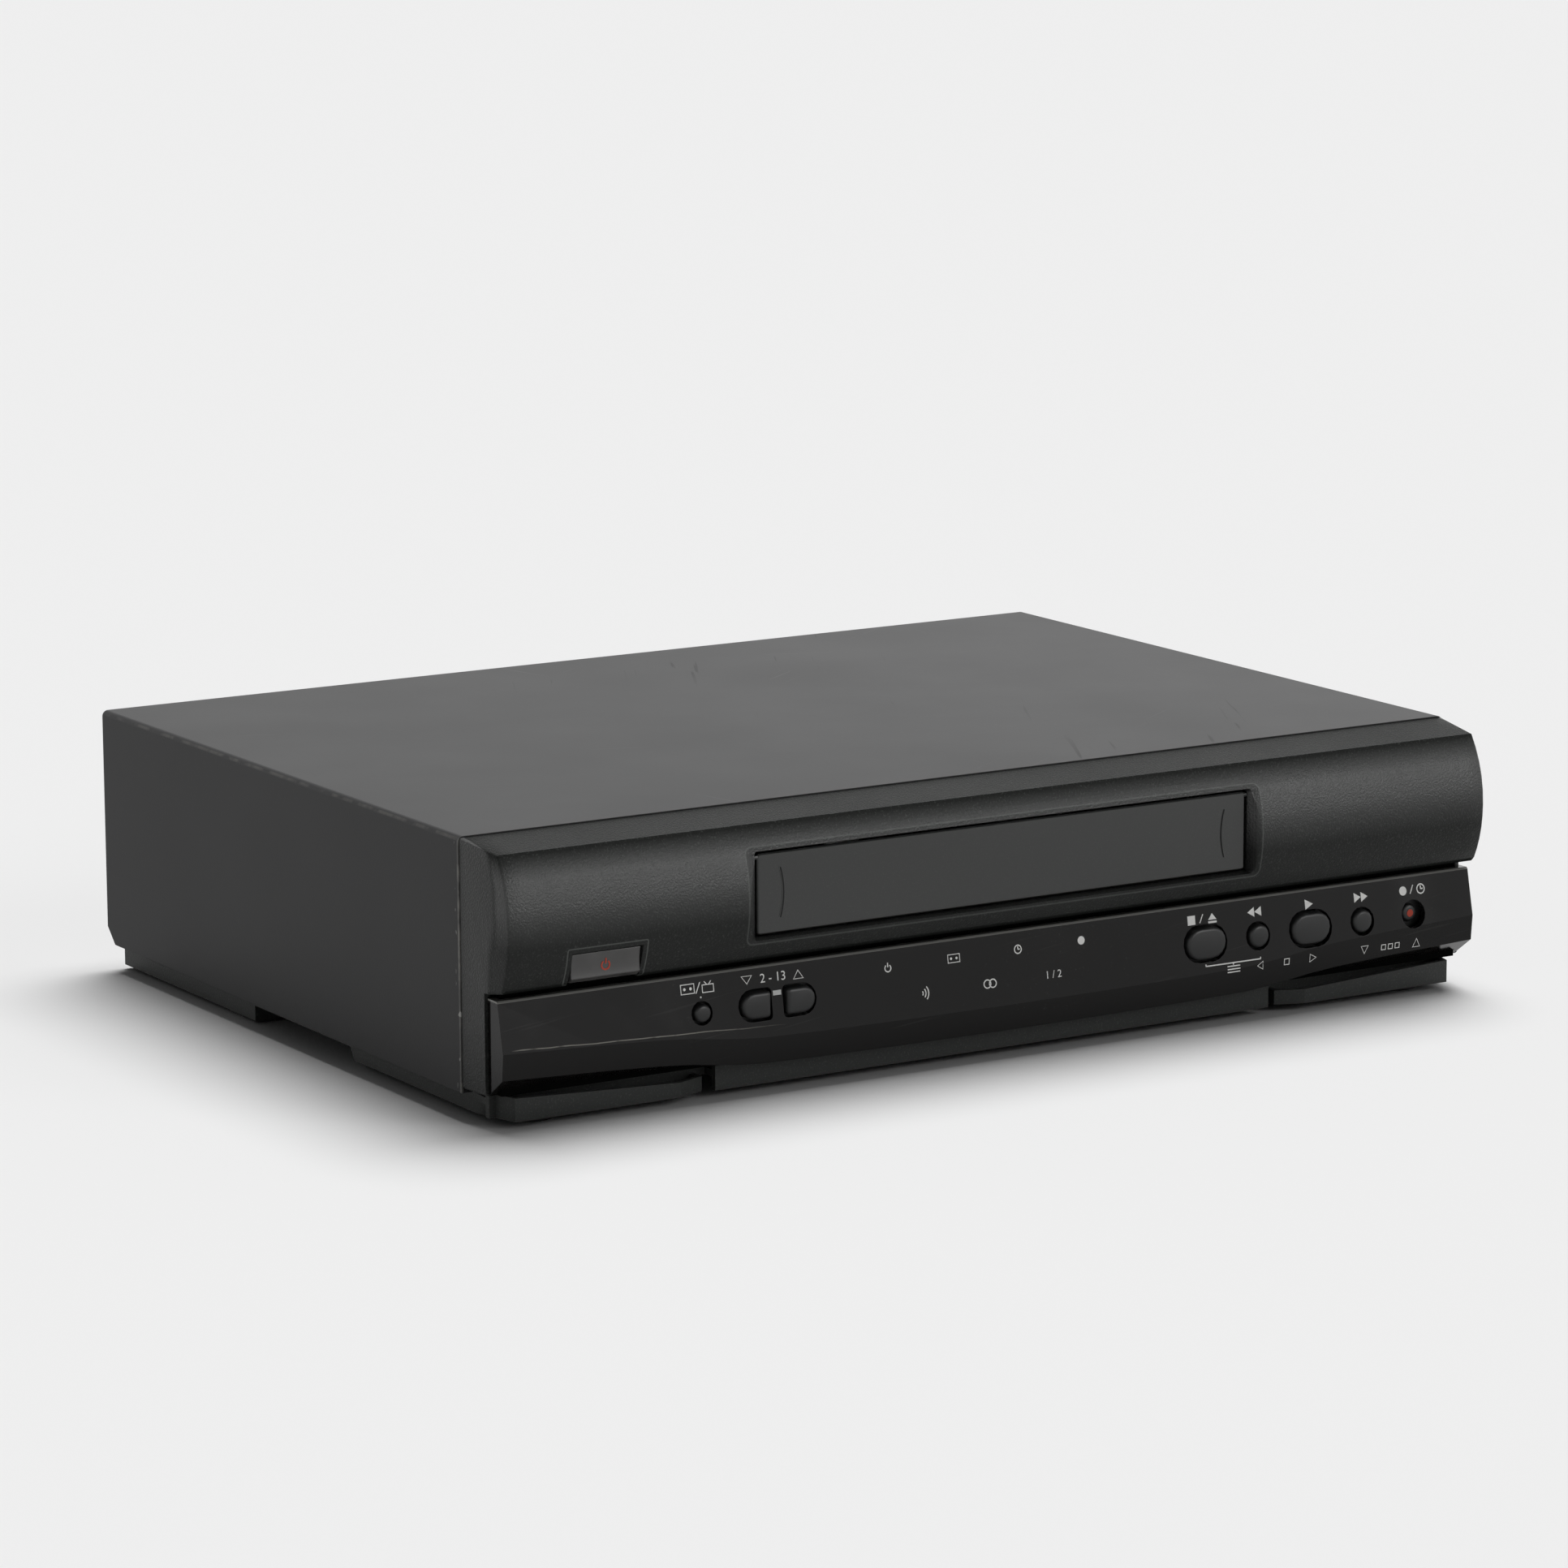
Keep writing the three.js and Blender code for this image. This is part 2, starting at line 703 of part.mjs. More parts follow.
function makeFrontBezel() {
  const roundingShares = [[0, 1], [0.29, 0.29], [1, 0]];
  const stations = [];
  for (const [sideShare, outlineShare] of roundingShares) {
    stations.push({
      at: (y) => -bezelEnd(y, sideShare * endRounding),
      outline: bezelOutline(outlineShare * endRounding),
    });
  }
  for (const [sideShare, outlineShare] of [...roundingShares].reverse()) {
    stations.push({
      at: (y) => bezelEnd(y, sideShare * endRounding),
      outline: bezelOutline(outlineShare * endRounding),
    });
  }
  const lip = box(
    [-bezelLipHalf, bezelLipHalf],
    [front(lipRoot), back(bezelLip)],
    [above(bezelFoot), above(bezelTop)],
  );
  const outside = loft('x', stations).add(lip);
  const innerOutline = bezelOutline(mouldedWall, back(bezelLip + cutOver), bezelTop);
  const lowHalf = nestHalf - fitGap - mouldedWall;
  const highHalf = bezelHalf - sideTaper - mouldedWall;
  const hollow = prism(innerOutline, 'x', -lowHalf, lowHalf);
  const upperHollow = prism(innerOutline, 'x', -highHalf, highHalf).intersect(box(
    [-highHalf, highHalf],
    [front(noseReach), back(bezelLip + cutOver)],
    [above(grooveRoof + mouldedWall), above(coverHeight)],
  ));
  let bezel = cut(outside, hollow, upperHollow);

  const openingHalf = doorWidth / 2 + doorGap;
  const [openingFoot, openingTop] = [doorFoot - doorGap, doorTop + doorGap];
  const frameHalf = openingHalf + pocketFlareSide + pocketFrame;
  const frame = box(
    [doorCentreX - frameHalf, doorCentreX + frameHalf],
    [front(noseReach), front(doorReach - doorSheet - doorAxisDrop)],
    [
      above(openingFoot - pocketFlareHeight - pocketFrame),
      above(openingTop + pocketFlareHeight + pocketFrame),
    ],
  ).intersect(outside);
  bezel = bezel.add(frame);
  const tunnel = box(
    [doorCentreX - openingHalf, doorCentreX + openingHalf],
    [front(noseReach + cutOver), back(0)],
    [above(openingFoot), above(openingTop)],
  );
  const flareShares = [[0, 0], [0.35, 0.12], [0.7, 0.45], [1, 1]];
  const flare = loft('y', flareShares.map(([depthShare, openShare]) => ({
    at: front(noseReach + (depthShare - 1) * pocketFlareDepth),
    outline: rounded(
      doorCentreX,
      above((openingFoot + openingTop) / 2),
      2 * (openingHalf + openShare * pocketFlareSide),
      openingTop - openingFoot + 2 * openShare * pocketFlareHeight,
      doorEdge + openShare * pocketFlareHeight / 2,
    ),
  })).reverse());
  bezel = cut(bezel, tunnel, flare);
  const pinHoleRadius = doorPinRadius + doorPinRoom;
  const pinHole = prism(
    circle(front(doorReach - doorSheet / 2), above(doorTop - doorAxisDrop), pinHoleRadius),
    'x', doorCentreX - openingHalf - doorPinLength, doorCentreX + openingHalf + doorPinLength,
  );
  bezel = cut(bezel, pinHole);

  const notch = box(
    [keyX - notchWidth / 2, keyX + notchWidth / 2],
    [front(noseReach + cutOver), front(grooveReach)],
    [above(grooveRoof - cutOver), above(notchTop)],
  );
  bezel = cut(bezel, notch);

  for (const side of [-1, 1]) {
    const [near, far] = [side * (nestHalf - fitGap), side * (bezelHalf + cutOver)];
    const nest = box(
      [Math.min(near, far), Math.max(near, far)],
      [front(noseReach), front(panelRearReach - fitGap)],
      [above(-cutOver), above(grooveRoof)],
    );
    bezel = cut(bezel, nest);
  }
  for (const window of [leftWindow, displayWindow, rightWindow]) {
    bezel = cut(bezel, box(
      window,
      [front(grooveReach + cutOver), front(grooveReach - mouldedWall - cutOver)],
      [above(buttonRowHeight - windowFootRoom), above(buttonRowHeight + windowTopRoom)],
    ));
  }
  for (const x of boardBossPlaces) {
    const boss = prism(
      circle(x, above(frontBoardFoot + bossRadius), bossRadius), 'y',
      front(grooveReach - mouldedWall / 2), front(frontBoardReach + fitGap),
    );
    bezel = bezel.add(boss);
  }
  piece('front_bezel', bezel, finish(0x2f3331, 0.5));
}

// Gloss panel: skinned along x, because its lower edge drops between the feet and bows.

const panelDropShares = [
  [0, 0], [0.2, 0.02], [0.38, 0.07], [0.5, 0.14], [0.545, 0.23], [0.59, 0.36],
  [0.64, 0.53], [0.7, 0.66], [0.82, 0.82], [1, 1],
];

function panelOutline(footHeight, inset, rear = front(panelRearReach)) {
  return polygon([
    [rear, above(panelTop - inset)],
    [front(panelTopReach - panelEdge - inset), above(panelTop - inset)],
    [front(panelTopReach - inset), above(panelTop - panelEdge - inset)],
    [front(panelCreaseReach - inset), above(footHeight + panelCreaseRise)],
    [front(panelFootReach - inset), above(footHeight + inset)],
    [rear, above(panelHeel + inset)],
  ]);
}

function panelStations(half, inset, rear) {
  const heightAt = (share) => panelFootMiddle + share * (panelFootEnds - panelFootMiddle);
  const right = panelDropShares.map(([xShare, dropShare]) => ({
    at: xShare * half,
    outline: panelOutline(heightAt(dropShare), inset, rear),
  }));
  const left = right.slice(1).map(({ at, outline }) => ({ at: -at, outline })).reverse();
  return [...left, ...right];
}

function makeControlPanel() {
  const outside = loft('x', panelStations(panelHalf, 0, front(panelRearReach)));
  const inside = loft('x', panelStations(panelHalf - panelWall, panelWall, back(0)));
  const wallRoom = box(
    [-nestHalf, nestHalf],
    [front(grooveReach + fitGap), back(0)],
    [above(-cutOver), above(grooveRoof)],
  );
  let panel = cut(outside, inside, wallRoom);
  for (const { hole } of panelButtons) {
    panel = cut(panel, prism(hole(0), 'y', front(noseReach), front(grooveReach)));
  }
  piece('control_panel', panel, finish(0x1e1c1b, 0.15));
}

// Buttons of the gloss panel. Each hole is a function of its inset, and the cap is the same, inset.

function roundHoleAt(x, height, size) {
  return (inset) => rounded(x, above(height), size - 2 * inset, size - 2 * inset, size / 2 - inset);
}

function wideHoleAt(x) {
  return (inset) => rounded(
    x, above(buttonRowHeight), wideHoleWidth - 2 * inset, wideHoleHeight - 2 * inset,
    wideHoleHeight / 2 - inset,
  );
}

function dHoleAt(x, side) {
  return (inset) => {
    const full = dHoleHeight / 2 - inset;
    const flat = Math.max(dFlatCorner - inset / 2, doorEdge);
    return rounded(
      x, above(leftRowHeight), dHoleWidth - 2 * inset, dHoleHeight - 2 * inset,
      side < 0 ? full : flat, side < 0 ? flat : full,
    );
  };
}

function leftButton(name, x, hole) {
  return { name, x, height: leftRowHeight, hole };
}

function rightButton(name, place, hole = roundHoleAt(rightGroup[place], buttonRowHeight, roundHole)) {
  return { name, x: rightGroup[place], height: buttonRowHeight, hole };
}

const panelButtons = [
  leftButton('tv_vcr_button', tvVcrX, roundHoleAt(tvVcrX, leftRowHeight, smallHole)),
  leftButton('channel_down_button', channelDownX, dHoleAt(channelDownX, -1)),
  leftButton('channel_up_button', channelUpX, dHoleAt(channelUpX, 1)),
  rightButton('stop_eject_button', 0, wideHoleAt(rightGroup[0])),
  rightButton('rewind_button', 1),
  rightButton('play_button', 2, wideHoleAt(rightGroup[2])),
  rightButton('fast_forward_button', 3),
  { ...rightButton('record_button', 4), deepSet: true },
];

function makePanelButton({ name, x, height, hole, deepSet }) {
  const gap = deepSet ? (roundHole - recordCap) / 2 : capGap;
  const reach = deepSet ? recordCapReach : capReach;
  const domeShares = [[0, 0], [0.55, 0.18], [0.88, 0.55], [1, 1]];
  const flangeRear = capFlangeReach - capFlangeThickness;
  const stations = [
    { at: front(flangeRear), outline: hole(-capFlange) },
    { at: front(capFlangeReach), outline: hole(-capFlange) },
    { at: front(capFlangeReach), outline: hole(gap) },
  ];
  for (const [riseShare, insetShare] of domeShares) {
    stations.push({
      at: front(reach - (1 - riseShare) * capDome),
      outline: hole(gap + insetShare * capDome),
    });
  }
  const stem = prism(
    circle(x, above(height), stemRadius), 'y',
    front(flangeRear + capFlangeThickness / 2), front(switchReach + buttonTravel + fitGap),
  );
  const cap = loft('y', stations.reverse()).add(stem);
  piece(name, cap, finish(0x2b2b2b, 0.4));
}

// Power key: a bar with a hollowed face and a lip along its foot.

function makePowerKey() {
  const half = notchWidth / 2 - keyGap;
  const foot = noseFoot;
  const top = notchTop - keyGap;
  const face = new THREE.Shape();
  face.moveTo(front(keyRearReach), above(top));
  face.lineTo(front(keyReach), above(top));
  face.quadraticCurveTo(
    front(keyHollowReach), above((foot + top) / 2), front(keyLipReach), above(foot + keyLipHeight),
  );
  face.lineTo(front(noseFootReach), above(foot));
  face.lineTo(front(keyRearReach), above(foot));
  const bar = prism(face, 'x', keyX - half, keyX + half);
  const flange = box(
    [keyX - half - keyFlange, keyX + half + keyFlange],
    [front(keyRearReach), front(keyRearReach - keyFlangeThickness)],
    [above(noseFoot + mouldedWall + fitGap), above(top + keyFlange)],
  );
  const stem = prism(
    circle(keyX, above((foot + top) / 2), stemRadius), 'y',
    front(keyRearReach - keyFlangeThickness / 2), front(switchReach + buttonTravel + fitGap),
  );
  piece('power_button', joined(bar, flange, stem), finish(0x2f3331, 0.45));
}

// Cassette door: a flap with ribs behind and a pin at each upper corner.

function makeCassetteDoor() {
  const middle = above((doorFoot + doorTop) / 2);
  const face = (inset) => rounded(
    doorCentreX, middle, doorWidth - 2 * inset, doorHeight - 2 * inset, 2 * doorEdge - inset,
  );
  const skin = loft('y', [
    { at: front(doorReach), outline: face(doorEdge) },
    { at: front(doorReach - doorEdge), outline: face(0) },
    { at: front(doorReach - doorSheet), outline: face(0) },
  ]);
  const half = doorWidth / 2;
  const pins = prism(
    circle(front(doorReach - doorSheet / 2), above(doorTop - doorAxisDrop), doorPinRadius),
    'x', doorCentreX - half - doorPinLength, doorCentreX + half + doorPinLength,
  );
  piece('cassette_door', skin.add(pins), finish(0x2c302e, 0.5));
}

// Base: the tray under the cover, with hollow front feet, the strip between them and stepped skirts.

function makeBaseFrame() {
  const rear = rearPanelY - fitGap;
  const floor = box(
    [-baseHalf, baseHalf],
    [front(footBackReach), back(rear)],
    [above(floorBottom), above(floorTop)],
  );
  const middleFloor = box(
    [-stripHalf, stripHalf],
    [front(stripReach), back(0)],
    [above(floorBottom), above(floorTop)],
  );
  const strip = box(
    [-stripHalf, stripHalf],
    [front(stripReach), front(stripReach - baseWall)],
    [above(skirtFront), above(coverSheet)],
  );
  const skirt = polygon([
    [front(plateSheet), above(skirtFront)],
    [back(skirtFrontEnd), above(skirtFront)],
    [back(skirtMiddleStart), above(skirtMiddle)],
    [back(rearFootStart), above(skirtMiddle)],
    [back(rearFootStart), above(skirtRear)],
    [back(rear), above(skirtRear)],
    [back(rear), above(baseWallTop)],
    [back(bezelLip + fitGap), above(baseWallTop)],
    [back(bezelLip + fitGap), above(coverSheet)],
    [front(plateSheet), above(coverSheet)],
  ]);
  const rearWall = box(
    [-baseHalf, baseHalf],
    [back(rear - baseWall), back(rear)],
    [above(skirtRear), above(baseWallTop)],
  );
  let base = joined(floor, middleFloor, strip, rearWall);
  for (const side of [-1, 1]) {
    const span = (near, far) => (side > 0 ? [near, far] : [-far, -near]);
    const flip = (points) => polygon(points.map(([x, y]) => [side * x, y]));
    base = base.add(prism(skirt, 'x', ...span(baseHalf - baseWall, baseHalf)));
    base = base.add(box(
      span(baseHalf - rearFootWidth, baseHalf),
      [back(rearFootStart), back(rearFootEnd)],
      [above(skirtRear), above(floorTop)],
    ));
    base = base.add(box(
      span(footEndX, baseHalf),
      [front(footBackReach), front(footBackReach - baseWall)],
      [above(skirtFront), above(coverSheet)],
    ));
    const plan = flip([
      [footEndX, front(footEndReach)],
      [footInnerX, front(footReach)],
      [footOuterX, front(footReach)],
      [baseHalf, front(plateSheet)],
      [baseHalf, back(bezelLip)],
      [footEndX, back(bezelLip)],
    ]);
    const profile = flip([
      [footEndX, above(skirtFront)],
      [baseHalf, above(skirtFront)],
      [baseHalf, above(footTopOuter)],
      [footOuterX, above(footTopOuter)],
      [footInnerX, above(footTopInner)],
      [footEndX, above(footTopInner)],
    ]);
    const foot = prism(plan, 'z', above(skirtFront), above(footTopOuter))
      .intersect(prism(profile, 'y', front(footReach), back(bezelLip)));
    const trough = flip([
      [footEndX + footWall, front(footBackReach)],
      [footEndX + footWall, front(footEndReach - footWall / 2)],
      [footInnerX, front(footReach - footWall)],
      [footOuterX - footWall / 2, front(footReach - footWall)],
      [baseHalf - footWall * 2, front(footBackReach)],
    ]);
    const underHollow = box(
      span(footEndX + footWall, baseHalf - baseWall),
      [front(footBackReach - baseWall), back(bezelLip - footWall)],
      [above(floorTop), above(coverSheet)],
    );
    base = cut(base.add(foot), prism(trough, 'z', above(troughFloor), above(cutOver)), underHollow);
  }
  for (const [x, y] of deckPosts) {
    base = base.add(post(x, y, deckHeight - deckSheet - fitGap));
  }
  for (const [x, y] of boardPosts) {
    base = base.add(post(x, y, mainBoardFoot - fitGap));
  }
  piece('base_frame', cut(base, ...louvres()), finish(0x2b2e2c, 0.7));
}

function post(x, y, top) {
  return moved(rod(bossRadius, above(floorBottom), above(top), shaftSteps), x, back(y), 0);
}

const deckPosts = [-1, 1].flatMap((side) => [deckFront, deckRear].map((edge) => [
  doorCentreX + side * (deckHalf - 2 * bossRadius),
  reelRow + edge - Math.sign(edge) * 2 * bossRadius,
]));

const boardPosts = [
  ...[-1, 1].flatMap((side) => [mainBoardStart, mainBoardEnd].map((edge, i) => [
    side * (boardHalf - 2 * bossRadius), edge + (i ? -2 : 2) * bossRadius,
  ])),
  [-boardHalf + 2 * bossRadius, wingStart + 2 * bossRadius],
  [boardHalf - 2 * bossRadius, powerBoardStart + 2 * bossRadius],
  [boardHalf - powerBoardWidth + 2 * bossRadius, powerBoardStart + 2 * bossRadius],
  [boardHalf - 2 * bossRadius, powerBoardEnd - 2 * bossRadius],
];

// Cooling slots that go through the base's floor and the steel plate under it.
function louvres() {
  const slots = [];
  for (const x of [-caseWidth / 4 - louvreLength, caseWidth / 4]) {
    for (let i = 0; i < louvreCount; i += 1) {
      const y = mainBoardStart - mainBoardEnd / 2 + i * louvrePitch;
      slots.push(prism(
        slot(x, back(y), x + louvreLength, back(y), louvreWidth / 2), 'z',
        above(skirtRear), above(floorTop + cutOver), slotSteps,
      ));
    }
  }
  return slots;
}

function makeBottomPlate() {
  const half = baseHalf - rearFootWidth - plateSheet;
  const plate = box(
    [-half, half],
    [back(bezelLip + cutOver), back(rearPanelY - 2 * baseWall)],
    [above(floorBottom - fitGap - plateSheet), above(floorBottom - fitGap)],
  );
  piece('bottom_plate', cut(plate, ...louvres()), finish(0x8a8c8e, 0.45, 0.8));
}

function makeFootPads() {
  for (const [word, side] of [['left', -1], ['right', 1]]) {
    const frontPad = turned([
      [0, above(-standHeight)],
      [padRadius - padRecess, above(-standHeight)],
      [padRadius, above(-standHeight + padRecess)],
      [padRadius, above(skirtFront - fitGap)],
      [0, above(skirtFront - fitGap)],
    ]);
    piece(`foot_pad_front_${word}`, frontPad, finish(0x1a1a1a, 0.9), recorder, [
      side * padX, front(padReach), 0,
    ]);
    const rearPad = prism(
      rounded(
        side * (baseHalf - rearFootWidth / 2), back((rearFootStart + rearFootEnd) / 2),
        rearFootWidth - 2 * footWall, rearFootEnd - rearFootStart - 2 * footWall, footWall,
      ),
      'z', above(-standHeight), above(skirtRear - fitGap),
    );
    piece(`foot_pad_rear_${word}`, rearPad, finish(0x1a1a1a, 0.9));
  }
}

// Rear: a steel panel with a dished recess for the sockets, vents and the hole of the cord gland.

const recessFloorY = rearPanelY - recessDepth;
const jackColumns = [0, 1, 2].map((i) => recessX + jackOffset + i * jackPitch);
const jackRows = [recessMiddle - jackRowOffset, recessMiddle + jackRowOffset];
const tunerX = recessX - tunerOffset;
const blockFoot = mainBoardFoot + boardSheet + fitGap;
const blockTop = jackRows[1] + 2 * jackRadius;
const blockRearY = recessFloorY - plateSheet - fitGap;

function makeRearPanel() {
  const half = caseHalf - coverSheet - fitGap;
  const foot = bezelFoot;
  const top = coverInnerTop - fitGap;
  const plate = prism(
    rounded(0, above((foot + top) / 2), 2 * half, top - foot, coverBend), 'y',
    back(rearPanelY), back(rearPanelY + plateSheet),
  );
  const recess = (grow) => [
    [recessX - recessWidth / 2 - grow, recessX + recessWidth / 2 + grow],
    [above(recessMiddle - recessHeight / 2 - grow), above(recessMiddle + recessHeight / 2 + grow)],
  ];
  const [outerX, outerZ] = recess(plateSheet);
  const [innerX, innerZ] = recess(0);
  const panDepth = [back(recessFloorY - plateSheet), back(rearPanelY + plateSheet / 2)];
  const pan = box(outerX, panDepth, outerZ);
  const hollow = box(innerX, [back(recessFloorY), back(coverDepth)], innerZ);
  let panel = cut(plate.add(pan), hollow);
  const through = (outline) => prism(outline, 'y', back(recessFloorY - cutOver), back(coverDepth));
  for (const x of [tunerX, ...jackColumns]) {
    for (const z of jackRows) panel = cut(panel, through(circle(x, above(z), jackRadius + fitGap)));
  }
  for (let i = 0; i < ventCount; i += 1) {
    const x = ventStartX + i * ventPitch;
    const low = above(recessMiddle - ventHeight / 2);
    const vent = slot(x, low, x, low + ventHeight, ventWidth / 2);
    panel = cut(panel, prism(vent, 'y', back(rearPanelY - plateSheet), back(coverDepth), slotSteps));
  }
  panel = cut(panel, through(circle(glandX, above(glandHeight), glandRadius + fitGap)));
  piece('rear_panel', panel, finish(0x2a2a2a, 0.5, 0.4));
}

function makeCordGland() {
  const gland = turned([
    [glandBore, 0],
    [glandFlange, 0],
    [glandFlange, plateSheet],
    [glandRadius, plateSheet + fitGap / 2],
    [glandRadius, glandLength - plateSheet],
    [glandRadius - plateSheet, glandLength],
    [glandBore, glandLength],
    [glandBore, 0],
  ]).rotate([90, 0, 0]);
  piece('cord_gland', gland, finish(0x161616, 0.8), recorder, [
    glandX, back(rearPanelY + 2 * plateSheet + fitGap), above(glandHeight),
  ]);
}

// Boards, the tuner and the socket block

function makeFrontBoard() {
  const [near, far] = [front(frontBoardReach), front(frontBoardReach - boardSheet)];
  const earHalf = notchWidth / 2 - keyFlange;
  const board = box([-boardHalf, boardHalf], [near, far], [above(frontBoardFoot), above(frontBoardTop)]);
  const ear = box(
    [keyX - earHalf, keyX + earHalf],
    [near, far],
    [above(frontBoardFoot), above(notchTop + switchSize / 2)],
  );
  const display = box(
    [displayWindow[0] + fitGap, displayWindow[1] - fitGap],
    [front(switchReach), far],
    [above(buttonRowHeight - displayHeight / 2), above(buttonRowHeight + displayHeight / 2)],
  );
  let frontBoard = joined(board, ear, display);
  const places = panelButtons.map(({ x, height }) => [x, height]);
  for (const [x, height] of [...places, [keyX, (noseFoot + notchTop - keyGap) / 2]]) {
    frontBoard = frontBoard.add(box(
      [x - switchSize / 2, x + switchSize / 2],
      [front(switchReach), far],
      [above(height - switchSize / 2), above(height + switchSize / 2)],
    ));
  }
  piece('front_board', frontBoard, finish(0x3d5a34, 0.6));
}

// A board lies flat behind a span in x and a span in depth. What stands on it is placed and sized
// by shares of those spans, with places counted from the board's middle.
function boardAt(width, depth) {
  return {
    width: width[1] - width[0],
    depth: depth[1] - depth[0],
    middleX: (width[0] + width[1]) / 2,
    middleY: (depth[0] + depth[1]) / 2,
    sheet: box(
      width,
      [back(depth[0]), back(depth[1])],
      [above(mainBoardFoot), above(mainBoardFoot + boardSheet)],
    ),
  };
}

function chip(board, [xShare, yShare], [widthShare, depthShare], height) {
  const x = board.middleX + xShare * board.width;
  const y = board.middleY + yShare * board.depth;
  const [halfWidth, halfDepth] = [widthShare * board.width / 2, depthShare * board.depth / 2];
  return box(
    [x - halfWidth, x + halfWidth],
    [back(y - halfDepth), back(y + halfDepth)],
    [above(mainBoardFoot + boardSheet / 2), above(mainBoardFoot + boardSheet + height)],
  );
}

function canister(board, [xShare, yShare], radiusShare, height) {
  const foot = above(mainBoardFoot + boardSheet / 2);
  return moved(
    rod(radiusShare * board.width, foot, foot + height, canisterSides),
    board.middleX + xShare * board.width,
    back(board.middleY + yShare * board.depth),
    0,
  );
}

function makeMainBoard() {
  const wide = boardAt([-boardHalf, boardHalf], [mainBoardStart, mainBoardEnd]);
  const wing = boardAt([-boardHalf, -boardHalf + wingWidth], [wingStart, mainBoardStart + boardOverlap]);
  const board = joined(
    wide.sheet,
    wing.sheet,
    chip(wing, [0, -0.15], [0.36, 0.13], chipHeight),
    chip(wing, [-0.12, 0.2], [0.48, 0.064], chipHeight),
    chip(wing, [0.18, 0.03], [0.18, 0.16], chipHeight),
    chip(wide, [0.27, -0.14], [0.09, 0.24], chipHeight),
    canister(wing, [-0.21, -0.4], 0.076, lowCanisterHeight),
    canister(wing, [0.06, -0.4], 0.076, lowCanisterHeight),
    canister(wide, [0.36, -0.18], 0.016, lowCanisterHeight),
  );
  piece('main_board', board, finish(0x42603a, 0.6));
}

function makePowerSupply() {
  const board = boardAt([boardHalf - powerBoardWidth, boardHalf], [powerBoardStart, powerBoardEnd]);
  let supply = joined(
    board.sheet,
    chip(board, [0.06, 0.3], [0.71, 0.256], transformerHeight),
    chip(board, [0.06, 0.3], [0.51, 0.302], windingHeight),
    canister(board, [-0.26, -0.21], 0.13, highCanisterHeight),
    canister(board, [0.09, -0.21], 0.1, highCanisterHeight - lowCanisterHeight / 2),
    canister(board, [0.34, -0.21], 0.07, lowCanisterHeight),
    chip(board, [0, -0.012], [0.6, 0.017], heatSinkHeight),
  );
  for (const share of [-0.286, -0.143, 0, 0.143, 0.286]) {
    supply = supply.add(chip(board, [share, -0.012], [0.03, 0.105], heatSinkHeight));
  }
  piece('power_supply', supply, finish(0x6a5a3a, 0.6));
}

// A sleeve of the socket block or the tuner that stands out through the recess, and its bore.
function socketSleeve(x, z, bore) {
  const [near, far] = [blockRearY - plateSheet, blockRearY + plateSheet];
  const sleeve = prism(circle(x, above(z), jackRadius), 'y', back(near), back(far + fitGap + jackLength));
  const hole = prism(circle(x, above(z), bore), 'y', back(far), back(coverDepth), boreSteps);
  return [sleeve, hole];
}

function makeJackBlock() {
  const half = jackPitch + blockMargin;
  let block = box(
    [jackColumns[1] - half, jackColumns[1] + half],
    [back(blockRearY - blockDepth), back(blockRearY)],
    [above(blockFoot), above(blockTop)],
  );
  for (const x of jackColumns) {
    for (const z of jackRows) {
      const [sleeve, hole] = socketSleeve(x, z, jackRadius * jackBoreShare);
      block = cut(block.add(sleeve), hole);
    }
  }
  piece('jack_block', block, finish(0x202020, 0.5));
}

function makeTunerBox() {
  let tuner = box(
    [tunerX - tunerHalf, tunerX + tunerHalf],
    [back(blockRearY - tunerDepth), back(blockRearY)],
    [above(blockFoot), above(blockTop)],
  );
  for (const z of jackRows) {
    const [sleeve, hole] = socketSleeve(tunerX, z, jackRadius * tunerBoreShare);
    tuner = cut(tuner.add(sleeve), hole);
  }
  piece('tuner_box', tuner, finish(0xa9abad, 0.35, 0.9));
}

// Tape deck. Places are counted from the deck plate's top, midway between the reels.

const deck = new THREE.Group();
deck.position.set(doorCentreX, back(reelRow), above(deckHeight));
recorder.add(deck);

const steel = finish(0x9b9d9f, 0.35, 0.9);
const whitePlastic = finish(0xd8d8d0, 0.5);
const blackPlastic = finish(0x252525, 0.5);

// A pin that stands in the deck plate, and one with a shoulder that a wheel turns on
function pin(x, y, top) {
  return moved(rod(studRadius, -deckSheet / 2, top, shaftSteps), x, y, 0);
}

function stud(x, y, top) {
  const shoulder = hubRadius - turnedEdge;
  return moved(turned([
    [0, -deckSheet / 2],
    [shoulder, -deckSheet / 2],
    [shoulder, wheelLift - fitGap],
    [studRadius, wheelLift - fitGap],
    [studRadius, top],
    [0, top],
  ], shaftSteps), x, y, 0);
}

// A flat steel arm from the origin to a point, with the hole that it swings on
function swingArm(x, y, holeRadius) {
  const arm = prism(slot(0, 0, x, y, armWidth / 2), 'z', armFoot, armTop);
  return cut(arm, rod(holeRadius, armFoot - cutOver, armTop + cutOver, shaftSteps));
}

